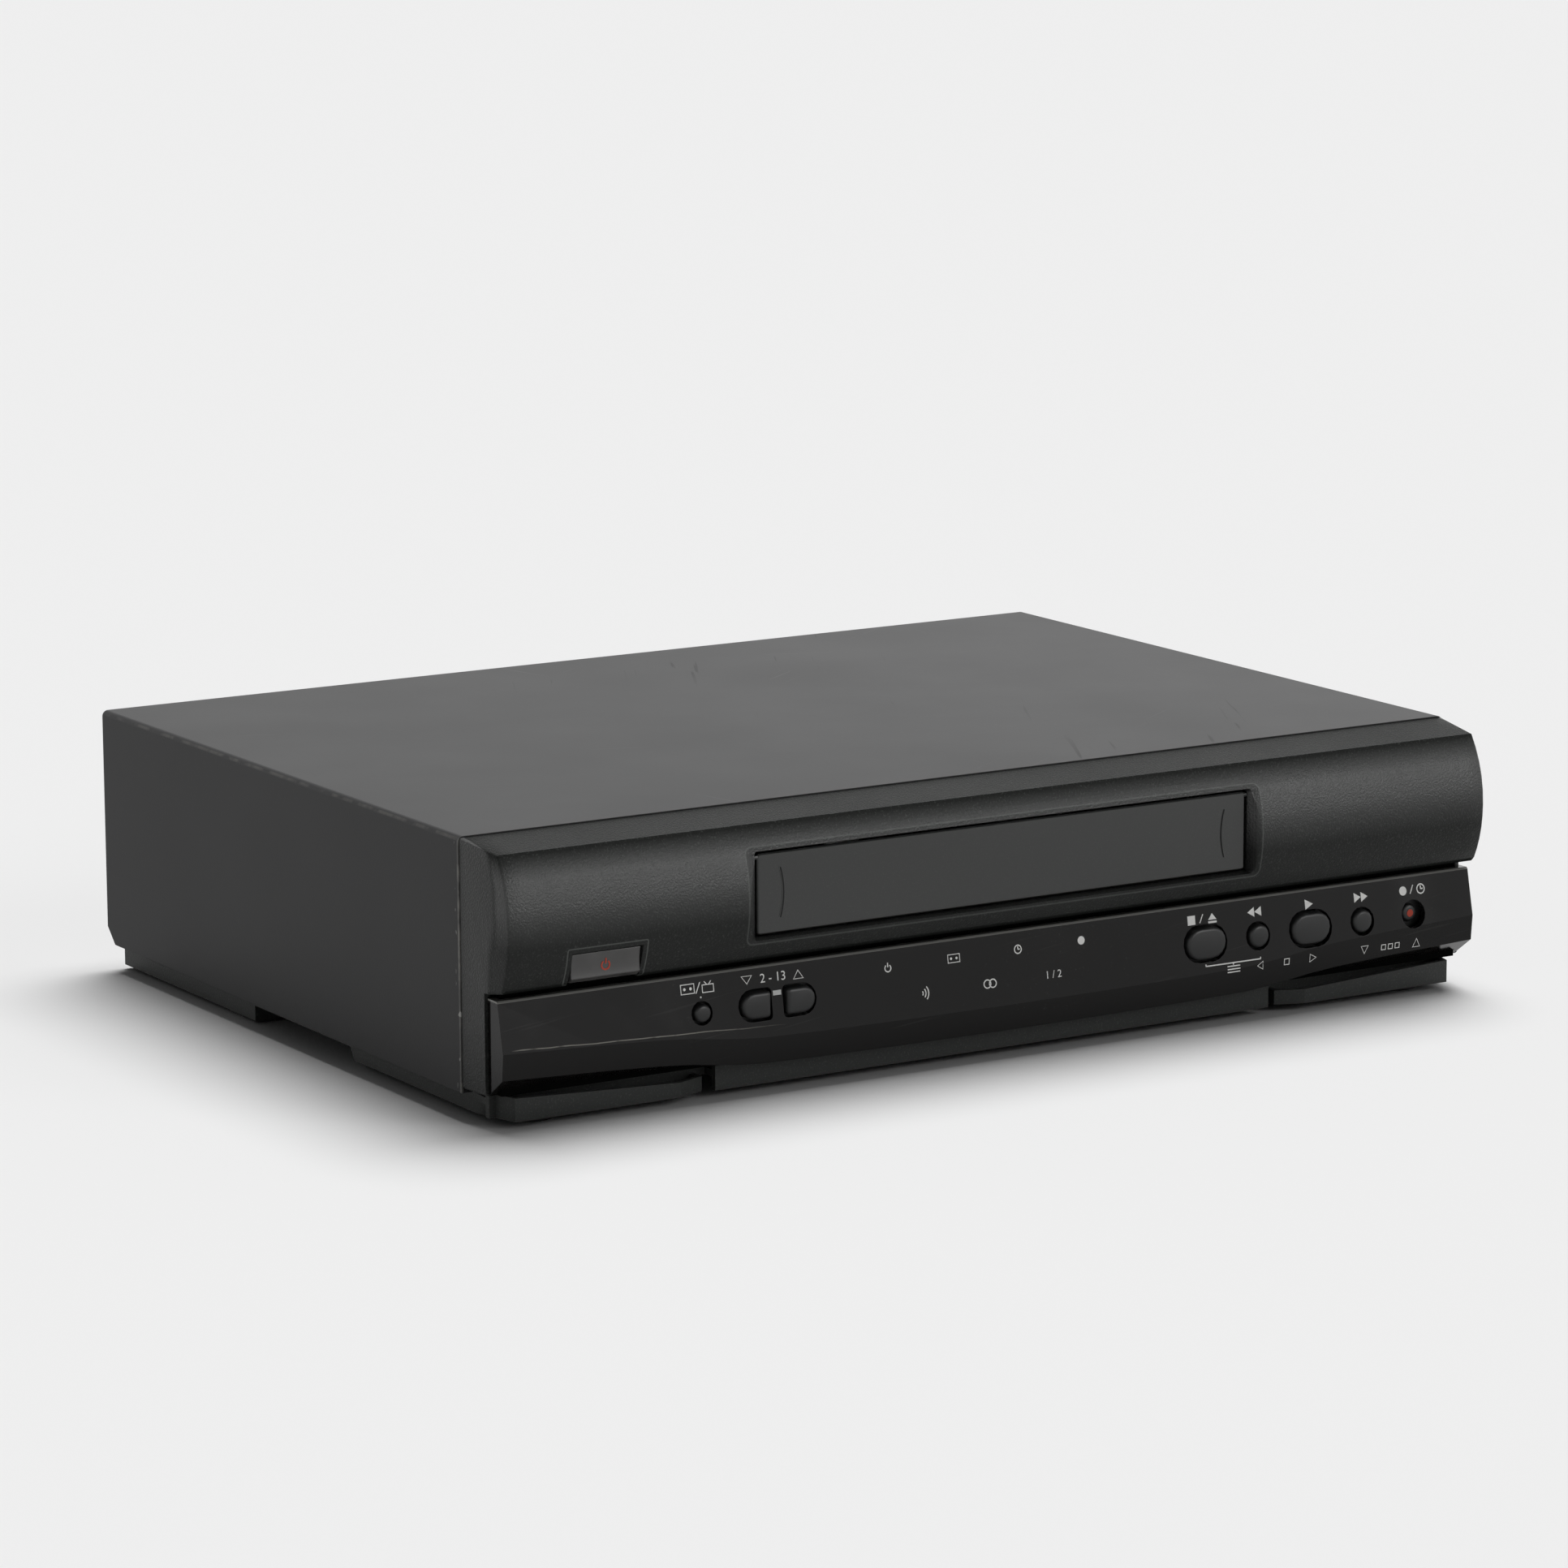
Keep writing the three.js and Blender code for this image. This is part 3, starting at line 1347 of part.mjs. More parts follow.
function makeDeckChassis() {
  const flangeLow = -deckSheet - deckFlange;
  const block = box([-deckHalf, deckHalf], [deckFront, deckRear], [flangeLow, 0]);
  const under = box(
    [-deckHalf + deckSheet, deckHalf - deckSheet],
    [deckFront + deckSheet, deckRear - deckSheet],
    [flangeLow - cutOver, -deckSheet],
  );
  let chassis = cut(block, under);
  const cornerSize = 4 * bossRadius;
  for (const side of [-1, 1]) {
    for (const edge of [deckFront, deckRear]) {
      const [x, y] = [side * (deckHalf - cornerSize / 2), edge - Math.sign(edge) * cornerSize / 2];
      chassis = cut(chassis, box(
        [x - cornerSize / 2, x + cornerSize / 2],
        [y - cornerSize / 2, y + cornerSize / 2],
        [flangeLow - cutOver, -deckSheet],
      ));
    }
    const guideWay = slot(side * guideStartX, guideStartY, side * guideEndX, guideEndY, guideSlot / 2);
    chassis = cut(chassis, prism(guideWay, 'z', -deckSheet - cutOver, cutOver));
    chassis = chassis.add(stud(side * reelX, 0, spindleHeight - 2 * turnedEdge));
  }
  chassis = joined(
    chassis,
    pin(pinchPivotX, pinchPivotY, wheelTop + 2 * axleRise),
    pin(tensionX, tensionY, wheelTop),
    stud(camX, camY, wheelTop + axleRise),
  );
  const opening = (x, y, radius) => moved(rod(radius, -deckSheet - cutOver, cutOver, shaftSteps), x, y, 0);
  chassis = cut(
    chassis,
    opening(0, centreY, capstanRadius + shaftRoom),
    opening(capstanX, capstanY, sleeveRadius + fitGap),
    opening(camX, pinionY, capstanRadius),
  );
  piece('deck_chassis', chassis, steel, deck);
}

function makeReelTable(name, x) {
  const shoulder = spindleHeight - spindleTip;
  let reel = turned([
    [0, wheelLift],
    [reelRim, wheelLift],
    [reelRim, wheelTop],
    [hubRadius + reelCollar, wheelTop],
    [hubRadius, wheelTop + turnedEdge],
    [hubRadius, shoulder],
    [hubRadius - spindleTip / 2, spindleHeight],
    [0, spindleHeight],
  ]);
  for (let fin = 0; fin < spindleFins; fin += 1) {
    reel = reel.add(box(
      [-hubRadius - spindleFin, hubRadius + spindleFin],
      [-spindleFin / 2, spindleFin / 2],
      [wheelTop - turnedEdge, shoulder - turnedEdge],
    ).rotate([0, 0, fin * halfTurnDegrees / spindleFins]));
  }
  const bore = rod(studRadius + shaftRoom, wheelLift - cutOver, spindleHeight - turnedEdge, shaftSteps);
  piece(name, cut(reel, bore), whitePlastic, deck, [x, 0, 0]);
}

// Idler: an arm on the centre shaft, with the wheel that it carries to either reel table
function makeIdler() {
  const axle = moved(rod(studRadius, armFoot, wheelTop + axleRise, shaftSteps), 0, -centreY, 0);
  const arm = swingArm(0, -centreY, capstanRadius + shaftRoom).add(axle);
  piece('idler_arm', arm, steel, deck, [0, centreY, 0]);
  const bore = studRadius + shaftRoom;
  const webTop = wheelLift + idlerWeb;
  const wheel = turned([
    [bore, wheelLift],
    [idlerRim, wheelLift],
    [idlerRim, wheelTop],
    [idlerRim - idlerTyre, wheelTop],
    [idlerRim - idlerTyre, webTop],
    [hubRadius, webTop],
    [hubRadius, wheelTop],
    [bore, wheelTop],
    [bore, wheelLift],
  ]);
  piece('idler_wheel', wheel, blackPlastic, deck);
}

function pulleyProfile(grooveRadius) {
  const edge = (pulleyThickness - beltSize) / 2 - beltRoom;
  return [
    [grooveRadius + grooveRim, pulleyFoot],
    [grooveRadius + grooveRim, pulleyFoot + edge],
    [grooveRadius, pulleyFoot + edge],
    [grooveRadius, pulleyTop - edge],
    [grooveRadius + grooveRim, pulleyTop - edge],
    [grooveRadius + grooveRim, pulleyTop],
  ];
}

function makeCentrePulley() {
  const pulley = turned([
    [0, pulleyFoot],
    ...pulleyProfile(largeGroove),
    [capstanRadius, pulleyTop],
    [capstanRadius, wheelLift],
    [centreHub, wheelLift],
    [centreHub, wheelTop],
    [0, wheelTop],
  ]);
  piece('centre_pulley', pulley, whitePlastic, deck, [0, centreY, 0]);
}

function makeCapstan() {
  const capstan = turned([
    [0, pulleyFoot],
    ...pulleyProfile(smallGroove),
    [flywheelRadius, pulleyTop],
    [flywheelRadius, -flywheelDrop],
    [capstanRadius, -flywheelDrop],
    [capstanRadius, capstanTop],
    [0, capstanTop],
  ]);
  piece('capstan_flywheel', capstan, steel, deck, [capstanX, capstanY, 0]);
  const bore = capstanRadius + shaftRoom;
  const foot = bearingLift - flywheelDrop;
  const sleeve = turned([
    [bore, foot],
    [sleeveRadius, foot],
    [sleeveRadius, armFoot],
    [sleeveRadius + armSheet, armFoot],
    [sleeveRadius + armSheet, armTop],
    [bore, armTop],
    [bore, foot],
  ], shaftSteps);
  piece('capstan_bearing', sleeve, finish(0xb08d57, 0.4, 0.8), deck, [capstanX, capstanY, 0]);
}

// A flat loop round the two pulleys, grown by a margin from their grooves.
function beltLoop(margin) {
  const [dx, dy] = [capstanX, capstanY - centreY];
  const angle = Math.atan2(dy, dx);
  const spread = Math.acos((largeGroove - smallGroove) / Math.hypot(dx, dy));
  const loop = new THREE.Shape();
  loop.absarc(0, centreY, largeGroove + margin, angle + spread, angle - spread + 2 * Math.PI);
  loop.absarc(capstanX, capstanY, smallGroove + margin, angle - spread, angle + spread);
  return loop;
}

function makeDriveBelt() {
  const low = (pulleyTop + pulleyFoot - beltSize) / 2;
  const hole = prism(beltLoop(beltRoom), 'z', low - cutOver, low + cutOver, shaftSteps);
  const loop = prism(beltLoop(beltRoom + beltSize), 'z', low, low + beltSize, shaftSteps);
  piece('drive_belt', cut(loop, hole), finish(0x141414, 0.85), deck);
}

// Video head drum: it leans towards the front, and the ledge round its lower half stays level.

const drum = new THREE.Group();
drum.position.set(0, drumY, 0);
drum.rotation.x = THREE.MathUtils.degToRad(drumTiltDegrees);
deck.add(drum);

function makeLowerDrum() {
  const leaned = (solid) => solid.rotate([drumTiltDegrees, 0, 0]);
  const reach = 2 * drumRadius;
  const body = leaned(joined(
    rod(drumRadius * drumNeckShare, 0, drumShoulder + turnedEdge),
    rod(drumRadius, drumShoulder, drumSplit, drumSteps),
  ));
  const ledge = leaned(rod(drumRadius + turnedEdge, drumShoulder, drumSplit, drumSteps)).intersect(box(
    [-reach, reach],
    [-reach, reach],
    [0, drumShoulder + lowerDrumHeight / 2],
  ));
  const foot = rod(drumRadius + drumFoot, armFoot, drumFoot);
  const aboveDeck = box([-reach, reach], [-reach, reach], [armFoot, reach]);
  const bore = leaned(rod(drumShaft + shaftRoom, drumShoulder, drumSplit + cutOver, drumSteps));
  const lower = cut(joined(body, ledge, foot).intersect(aboveDeck), bore);
  piece('lower_drum', lower, finish(0xb4b6b8, 0.25, 0.9), deck, [0, drumY, 0]);
}

function makeUpperDrum() {
  const [low, high] = [drumSplit + drumGap, drumSplit + drumGap + upperDrumHeight];
  const shaftFoot = drumSplit - drumShaftDepth;
  const [ringShare, dishShare, hubShare, capShare] = drumTopShares;
  let upper = turned([
    [0, shaftFoot],
    [drumShaft, shaftFoot],
    [drumShaft, low],
    [drumRadius, low],
    [drumRadius, high - turnedEdge],
    [drumRadius - turnedEdge, high],
    [drumRadius * ringShare, high],
    [drumRadius * dishShare, high - drumDish],
    [drumRadius * hubShare, high - drumDish],
    [drumRadius * capShare, high],
    [0, high],
  ], drumSteps);
  for (const side of [-1, 1]) {
    const [near, far] = [side * (drumRadius - headWindow), side * (drumRadius + headWindow)];
    upper = cut(upper, box(
      [Math.min(near, far), Math.max(near, far)],
      [-headWindow, headWindow],
      [low - headWindow, low + headWindow],
    ));
  }
  piece('upper_drum', upper, finish(0xc4c6c8, 0.2, 0.9), drum);
}

// Erase head and audio head: a block on a flange, with its face narrowed towards the tape
function makeHead(name, { width, depth, top, turnDegrees, x, y }) {
  const [halfWidth, halfDepth] = [width / 2, depth / 2];
  const flange = box(
    [-halfWidth - headFlange, halfWidth + headFlange],
    [-halfDepth, halfDepth],
    [armFoot, armTop],
  );
  const block = prism([
    [-halfWidth, -halfDepth],
    [halfWidth, -halfDepth],
    [halfWidth, halfDepth / 2],
    [halfWidth * headFaceShare, halfDepth],
    [-halfWidth * headFaceShare, halfDepth],
    [-halfWidth, halfDepth / 2],
  ], 'z', armFoot, top);
  piece(name, flange.add(block).rotate([0, 0, turnDegrees]), steel, deck, [x, y, 0]);
}

// Pinch roller, parked behind the capstan and swung against it on its arm
function makePinchRoller() {
  const contactY = capstanY + capstanRadius + pinchRadius + fitGap;
  const reach = Math.hypot(pinchPivotX - capstanX, pinchPivotY - contactY);
  const contactAngle = Math.atan2(contactY - pinchPivotY, capstanX - pinchPivotX);
  const parkedAngle = contactAngle - THREE.MathUtils.degToRad(pinchSwingDegrees);
  const [x, y] = [reach * Math.cos(parkedAngle), reach * Math.sin(parkedAngle)];
  const foot = armTop + fitGap;
  const top = foot + pinchHeight;
  const axle = moved(rod(studRadius, armFoot, top + axleRise, shaftSteps), x, y, 0);
  const arm = swingArm(x, y, studRadius + shaftRoom).add(axle);
  piece('pinch_arm', arm, steel, deck, [pinchPivotX, pinchPivotY, 0]);
  const bore = studRadius + shaftRoom;
  const roller = turned([
    [bore, foot],
    [pinchRadius - turnedEdge, foot],
    [pinchRadius, foot + turnedEdge],
    [pinchRadius, top - turnedEdge],
    [pinchRadius - turnedEdge, top],
    [bore, top],
    [bore, foot],
  ]);
  piece('pinch_roller', roller, finish(0x181818, 0.8), deck, [pinchPivotX + x, pinchPivotY + y, 0]);
}

// Guide posts that draw the tape round the drum: a block under the deck, a neck in the slot,
// and a flanged roller above.
function makeGuidePost(name, side) {
  const under = -deckSheet - fitGap;
  const neck = guideSlot / 2 - fitGap;
  const flangeFoot = guideTop - guideFlangeHeight;
  const rollerTop = flangeFoot - guideEdge;
  const rollerFoot = rollerTop - guideRollerHeight;
  const block = box(
    [-guideSlot * guideBlockShare, guideSlot * guideBlockShare],
    [-guideBlockHalf, guideBlockHalf],
    [under - guideBlockHeight, under],
  ).rotate([0, 0, side * -THREE.MathUtils.radToDeg(guideAngle)]);
  const spindle = turned([
    [0, under - turnedEdge],
    [neck, under - turnedEdge],
    [neck, armFoot],
    [guideRadius + turnedEdge, armFoot],
    [guideRadius + turnedEdge, armTop],
    [guideRadius - turnedEdge, armTop + turnedEdge],
    [guideRadius - turnedEdge, rollerFoot - guideEdge],
    [guideRadius, rollerFoot],
    [guideRadius, rollerTop],
    [guideRadius + guideFlange, flangeFoot],
    [guideRadius + guideFlange, guideTop],
    [0, guideTop],
  ], shaftSteps);
  piece(name, block.add(spindle), steel, deck, [side * guideStartX, guideStartY, 0]);
}

function makeTensionArm() {
  const angle = THREE.MathUtils.degToRad(tensionRestDegrees);
  const [x, y] = [tensionArm * Math.cos(angle), tensionArm * Math.sin(angle)];
  const post = moved(rod(studRadius, armFoot, capstanTop - tensionPostDrop, shaftSteps), x, y, 0);
  const arm = swingArm(x, y, studRadius + shaftRoom).add(post);
  piece('tension_arm', arm, steel, deck, [tensionX, tensionY, 0]);
}

// Cam gear that moves the guide posts, with the pinion of its motor in mesh behind it

function makeCamGear() {
  const tooth = 2 * Math.PI / camTeeth;
  const phase = Math.PI / 2 - Math.round(Math.PI / 2 / tooth) * tooth;
  const hub = rod(hubRadius + 2 * turnedEdge, wheelLift, wheelTop + axleRise);
  const through = (radius, sides) => rod(radius, wheelLift - cutOver, wheelTop + cutOver, sides);
  let cam = cut(gear(camTeeth, phase).add(hub), through(studRadius + shaftRoom, shaftSteps));
  for (let hole = 0; hole < camHoles; hole += 1) {
    const angle = THREE.MathUtils.degToRad(camHoleDegrees) + hole * 2 * Math.PI / camHoles;
    cam = cut(cam, moved(
      through(camHoleRadius, camHoleSteps),
      camHoleCircle * Math.cos(angle),
      camHoleCircle * Math.sin(angle),
      0,
    ));
  }
  piece('cam_gear', cam, whitePlastic, deck, [camX, camY, 0]);
}

function makeLoadingMotor() {
  const top = -deckSheet - fitGap;
  const foot = top - motorLength;
  const shaft = rod(studRadius, top - motorShaft, wheelTop, shaftSteps);
  const pinion = gear(pinionTeeth, Math.PI / pinionTeeth - Math.PI / 2).add(shaft);
  piece('loading_pinion', pinion, blackPlastic, deck, [camX, pinionY, 0]);
  const bore = studRadius + shaftRoom;
  const motor = turned([
    [0, foot],
    [motorRadius - turnedEdge, foot],
    [motorRadius, foot + turnedEdge],
    [motorRadius, top],
    [bore, top],
    [bore, top - motorShaft - turnedEdge],
    [0, top - motorShaft - turnedEdge],
  ]);
  piece('loading_motor', motor, steel, deck, [camX, pinionY, 0]);
}

// Cassette loader: brackets with two rails, a slider that runs in along them, and the holder that
// sinks in the slider's upright slots.

// A span in x that is given outwards from the middle of the cassette, on the left or on the right
function outwards(side, near, far) {
  return side > 0 ? [doorCentreX + near, doorCentreX + far] : [doorCentreX - far, doorCentreX - near];
}

function loaderPinAt(depth, height, span) {
  return prism(circle(back(holderFront + depth), above(height), loaderPin), 'x', ...span);
}

function loaderWay(nearDepth, farDepth, lowHeight, highHeight, span) {
  return prism(slot(
    back(holderFront + nearDepth), above(lowHeight),
    back(holderFront + farDepth), above(highHeight), loaderPin + loaderPinRoom,
  ), 'x', ...span);
}

function makeLoaderBracket(name, side) {
  const low = deckHeight + fitGap;
  const length = [back(holderFront), back(bracketRear)];
  const through = outwards(side, bracketNear - cutOver, bracketFar + cutOver);
  const plate = box(outwards(side, bracketNear, bracketFar), length, [above(low), above(bracketTop)]);
  const foot = box(
    outwards(side, bracketNear - bracketFlange, bracketFar),
    length,
    [above(low), above(low + loaderSheet)],
  );
  const window = prism(rounded(
    back((holderFront + bracketRear) / 2),
    above((railLow + railHigh) / 2),
    (bracketRear - holderFront) * bracketWindowLengthShare,
    (railHigh - railLow) * bracketWindowHeightShare,
    bracketWindowCorner,
  ), 'x', ...through);
  let bracket = cut(plate.add(foot), window);
  for (const rail of [railLow, railHigh]) {
    const railEnd = railRearPin + holderTravelIn;
    bracket = cut(bracket, loaderWay(railFrontPin, railEnd, rail, rail, through));
  }
  piece(name, bracket, steel);
}

function makeLoaderSlider() {
  const rearEnd = holderFront + holderDepth;
  const barHalf = sliderNear + loaderSheet / 2;
  let slider = box(
    [doorCentreX - barHalf, doorCentreX + barHalf],
    [back(rearEnd - sliderBar), back(rearEnd - loaderSheet)],
    [above(sliderTop - 2 * loaderSheet), above(sliderTop - loaderSheet / 2)],
  );
  for (const side of [-1, 1]) {
    slider = slider.add(box(
      outwards(side, sliderNear, sliderFar),
      [back(holderFront), back(rearEnd)],
      [above(railLow - 2 * loaderPin), above(sliderTop)],
    ));
    for (const depth of [holderFrontPin, holderRearPin]) {
      slider = cut(slider, loaderWay(
        depth, depth, holderPinHeight - holderTravelDown, holderPinHeight,
        outwards(side, sliderNear - fitGap, sliderFar + fitGap),
      ));
    }
    const pinSpan = outwards(side, sliderNear + loaderSheet / 2, bracketFar);
    for (const depth of [railFrontPin, railRearPin]) {
      slider = joined(slider, ...[railLow, railHigh].map((rail) => loaderPinAt(depth, rail, pinSpan)));
    }
  }
  piece('loader_slider', slider, finish(0xb9bbbd, 0.4, 0.8));
}

function makeCassetteHolder() {
  const inner = holderHalf - holderSheet;
  const foot = cassetteRest - holderSheet;
  const top = cassetteRest + cassetteHeight + cassetteRoom + holderSheet;
  const [near, far] = [holderFront, holderFront + holderDepth];
  const outside = box(
    [doorCentreX - holderHalf, doorCentreX + holderHalf],
    [back(near), back(far)],
    [above(foot), above(top)],
  );
  const room = box(
    [doorCentreX - inner, doorCentreX + inner],
    [back(near - cutOver), back(far + cutOver)],
    [above(cassetteRest), above(top - holderSheet)],
  );
  const mouth = box(
    [doorCentreX - inner + holderLip, doorCentreX + inner - holderLip],
    [back(near - cutOver), back(far + cutOver)],
    [above(foot - cutOver), above(cassetteRest + cutOver)],
  );
  let holder = cut(outside, room, mouth);
  for (const side of [-1, 1]) {
    const window = prism(rounded(
      doorCentreX + side * inner / 2,
      back((near + far) / 2),
      inner * holderWindowShare,
      holderDepth / 2,
      holderWindowCorner,
    ), 'z', above(top - holderSheet - cutOver), above(top + cutOver));
    const stop = box(
      outwards(side, inner - holderLip + holderSheet, inner + holderSheet / 2),
      [back(far - 2 * holderSheet), back(far - holderSheet)],
      [above(foot + holderSheet / 2), above(cassetteRest + cassetteHeight / 2)],
    );
    holder = cut(holder, window).add(stop);
    for (const depth of [holderFrontPin, holderRearPin]) {
      const span = outwards(side, holderHalf - holderSheet / 2, sliderFar);
      holder = holder.add(loaderPinAt(depth, holderPinHeight, span));
    }
  }
  piece('cassette_holder', holder, finish(0xaeb0b2, 0.4, 0.8));
}

makeTopCover();
makeFrontBezel();
makeControlPanel();
panelButtons.forEach(makePanelButton);
makePowerKey();
makeCassetteDoor();
makeBaseFrame();
makeBottomPlate();
makeFootPads();
makeRearPanel();
makeCordGland();
makeFrontBoard();
makeMainBoard();
makePowerSupply();
makeJackBlock();
makeTunerBox();
makeDeckChassis();
makeReelTable('supply_reel_table', -reelX);
makeReelTable('take_up_reel_table', reelX);
makeIdler();
makeCentrePulley();
makeCapstan();
makeDriveBelt();
makeLowerDrum();
makeUpperDrum();
makeHead('erase_head', eraseHead);
makeHead('audio_head', audioHead);
makePinchRoller();
makeGuidePost('guide_post_left', -1);
makeGuidePost('guide_post_right', 1);
makeTensionArm();
makeCamGear();
makeLoadingMotor();
makeLoaderBracket('loader_bracket_left', -1);
makeLoaderBracket('loader_bracket_right', 1);
makeLoaderSlider();
makeCassetteHolder();

export default recorder;
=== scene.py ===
import json
import math

import bmesh
import bpy
from mathutils import Matrix, Vector
from mathutils.bvhtree import BVHTree

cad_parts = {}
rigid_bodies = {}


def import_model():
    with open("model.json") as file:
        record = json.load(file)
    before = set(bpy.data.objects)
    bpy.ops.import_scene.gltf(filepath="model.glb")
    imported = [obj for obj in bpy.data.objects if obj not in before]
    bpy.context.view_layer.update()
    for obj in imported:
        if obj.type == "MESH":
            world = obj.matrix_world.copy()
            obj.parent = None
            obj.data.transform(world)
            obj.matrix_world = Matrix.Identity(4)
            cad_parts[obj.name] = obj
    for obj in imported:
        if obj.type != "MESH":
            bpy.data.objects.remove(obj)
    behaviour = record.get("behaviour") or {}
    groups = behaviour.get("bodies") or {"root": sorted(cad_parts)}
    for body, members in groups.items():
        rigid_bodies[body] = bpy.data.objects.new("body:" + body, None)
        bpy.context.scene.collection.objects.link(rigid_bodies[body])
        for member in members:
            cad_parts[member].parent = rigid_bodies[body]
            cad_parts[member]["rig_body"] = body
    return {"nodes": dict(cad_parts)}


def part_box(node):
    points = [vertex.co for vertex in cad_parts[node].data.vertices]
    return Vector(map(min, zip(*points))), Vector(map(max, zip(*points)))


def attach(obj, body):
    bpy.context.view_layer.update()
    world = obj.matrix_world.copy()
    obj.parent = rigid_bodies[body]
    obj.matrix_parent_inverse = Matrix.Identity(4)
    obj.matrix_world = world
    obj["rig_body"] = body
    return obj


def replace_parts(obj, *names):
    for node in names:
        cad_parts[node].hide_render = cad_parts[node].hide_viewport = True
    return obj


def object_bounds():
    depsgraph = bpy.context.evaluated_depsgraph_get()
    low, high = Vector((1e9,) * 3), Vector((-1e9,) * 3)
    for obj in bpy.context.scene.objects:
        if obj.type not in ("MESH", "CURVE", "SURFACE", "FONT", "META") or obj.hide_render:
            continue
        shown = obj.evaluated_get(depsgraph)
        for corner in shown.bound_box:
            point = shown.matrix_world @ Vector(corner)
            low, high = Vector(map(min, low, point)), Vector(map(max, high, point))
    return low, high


bl_info = {
    "name": "Video cassette recorder",
    "version": (1, 0, 0),
    "blender": (4, 5, 0),
    "location": "View3D > Sidebar > Recorder",
    "description": "Dresses a full-width video cassette recorder and sets it on a pale stage",
    "category": "Object",
}

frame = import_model()
CAD_LOW, CAD_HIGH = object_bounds()

MM = 0.001
COVER_LOW, COVER_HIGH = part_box("top_cover")
DOOR_LOW, DOOR_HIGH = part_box("cassette_door")
KEY_LOW, KEY_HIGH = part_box("power_button")
BEZEL_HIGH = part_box("front_bezel")[1]
PANEL_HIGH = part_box("control_panel")[1]
BOARD_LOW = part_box("main_board")[0]

# Meshes
MERGE_DISTANCE = 0.004 * MM
FLAT_ANGLE = math.radians(0.05)
SMOOTH_ANGLE = math.radians(32)
PANEL_SMOOTH_ANGLE = math.radians(6)
INNER_SMOOTH_ANGLE = math.radians(16)
BEVEL_ANGLE = math.radians(38)
BEVEL_STEPS = 2
SLICE = 10 * MM
LIFT = 0.1 * MM
RAY_START = 50 * MM
ARC_STEPS = 20
BOW_STEPS = 8

# Bands along edges: how far from the edge they are nought, and how far they are full
TOP_BAND = (1.5 * MM, 0.3 * MM)
TOP_WEAR = (1.6 * MM, 0.2 * MM)
SIDE_WEAR = (0.9 * MM, 0.1 * MM)
FRONT_WEAR = (1.1 * MM, 0.3 * MM)
CHIP_BAND = (3 * MM, 0)
POCKET_SHADOW = (0.9 * MM, 0.3 * MM)
RIDGE_BAND = (11 * MM, 3.2 * MM)
CROWN_BAND = (38 * MM, 20 * MM)
GROOVE_BAND = (4.5 * MM, 2.6 * MM)
GROOVE_ENDS = (0.2 * MM, 1.2 * MM)
PANEL_HIGHLIGHT_BAND = (0.75 * MM, 0.5 * MM)

# End faces of the front: how far in they slant, and how softly their sheen starts
END_SLANT = 1.5 * MM
END_FADE = 0.3 * MM

# Rims, painted highlight lines on rims and lips, and marks
POCKET_RIM = 2.6 * MM
# Width of the painted highlight line along the pocket's rim
POCKET_HIGHLIGHT_WIDTH = 0.9 * MM
RIM_DEPTH = 0.9 * MM
# Place and width of the painted highlight line on the power key's notch lips
KEY_HIGHLIGHT_PLACE = 0.6 * MM
KEY_HIGHLIGHT_WIDTH = 0.7 * MM
SCUFF_START = -194 * MM
SCUFF_HEIGHT = 28.1 * MM
SCUFF_WAVE = 1.2 * MM
SCUFF_STROKE = 0.5 * MM
SCUFF_FADE_IN = 4 * MM
SCUFF_FULL_LENGTH = 70 * MM
SCUFF_LENGTH = 105 * MM
SCUFF_FALL_SHARE = 0.0416
SMEAR_START = 10 * MM
SMEAR_FULL = 45 * MM
SOCKET_RING = 1 * MM
SOCKET_PITCH = 17 * MM

# Reliefs: how deep they look
COVER_PEEL = 0.05 * MM
FRONT_GRAIN = 0.45 * MM
BASE_GRAIN = 0.14 * MM
FINE_GRAIN = 0.03 * MM
KEY_GRAIN = 0.04 * MM
ROLLED_GRAIN = 0.02 * MM
RUBBER_GRAIN = 0.04 * MM
TRACK_RELIEF = 0.03 * MM

# Sheens: how strongly a surface mirrors
COVER_SHEEN = 0.17
FRONT_SHEEN = 0.11
CROWN_SHEEN = 0.44
PANEL_SHEEN = 0.16
BASE_SHEEN = 0.28
LOWER_SHEEN_SHARE = 0.26
RIDGE_DULL_SHARE = 0.93
END_SHEEN_SHARE = 0.65
STEEL_METALLIC = 0.45

# Colours of wear, small details and a painted highlight
WORN_EDGE_COLOUR = (0.34, 0.33, 0.3)
CORNER_COLOUR = (0.2, 0.2, 0.19)
CHIP_COLOUR = (0.45, 0.45, 0.43)
DUST_COLOUR = (0.055, 0.055, 0.052)
# The panel's upper rim colour is a painted highlight
PANEL_HIGHLIGHT_COLOUR = (0.3, 0.3, 0.28)
SCUFF_COLOUR = (0.36, 0.35, 0.31)
SOLDER_COLOUR = (0.42, 0.4, 0.34)

# Upward shares of a mirrored direction where the low sky ends and the high sky starts
LOW_SKY_SHARE = 0.3
HIGH_SKY_SHARE = 0.75

# Camera: its sensor in millimetres, and how far it sees in metres
SENSOR_WIDTH = 36
VIEW_END = 100


def front(reach):
    """The y of a point that stands a reach in front of the cover's front edge, in millimetres."""
    return COVER_LOW.y - reach * MM


def above(height):
    """The z of a height over the cover's lower edge, in millimetres."""
    return COVER_LOW.z + height * MM


# Settings

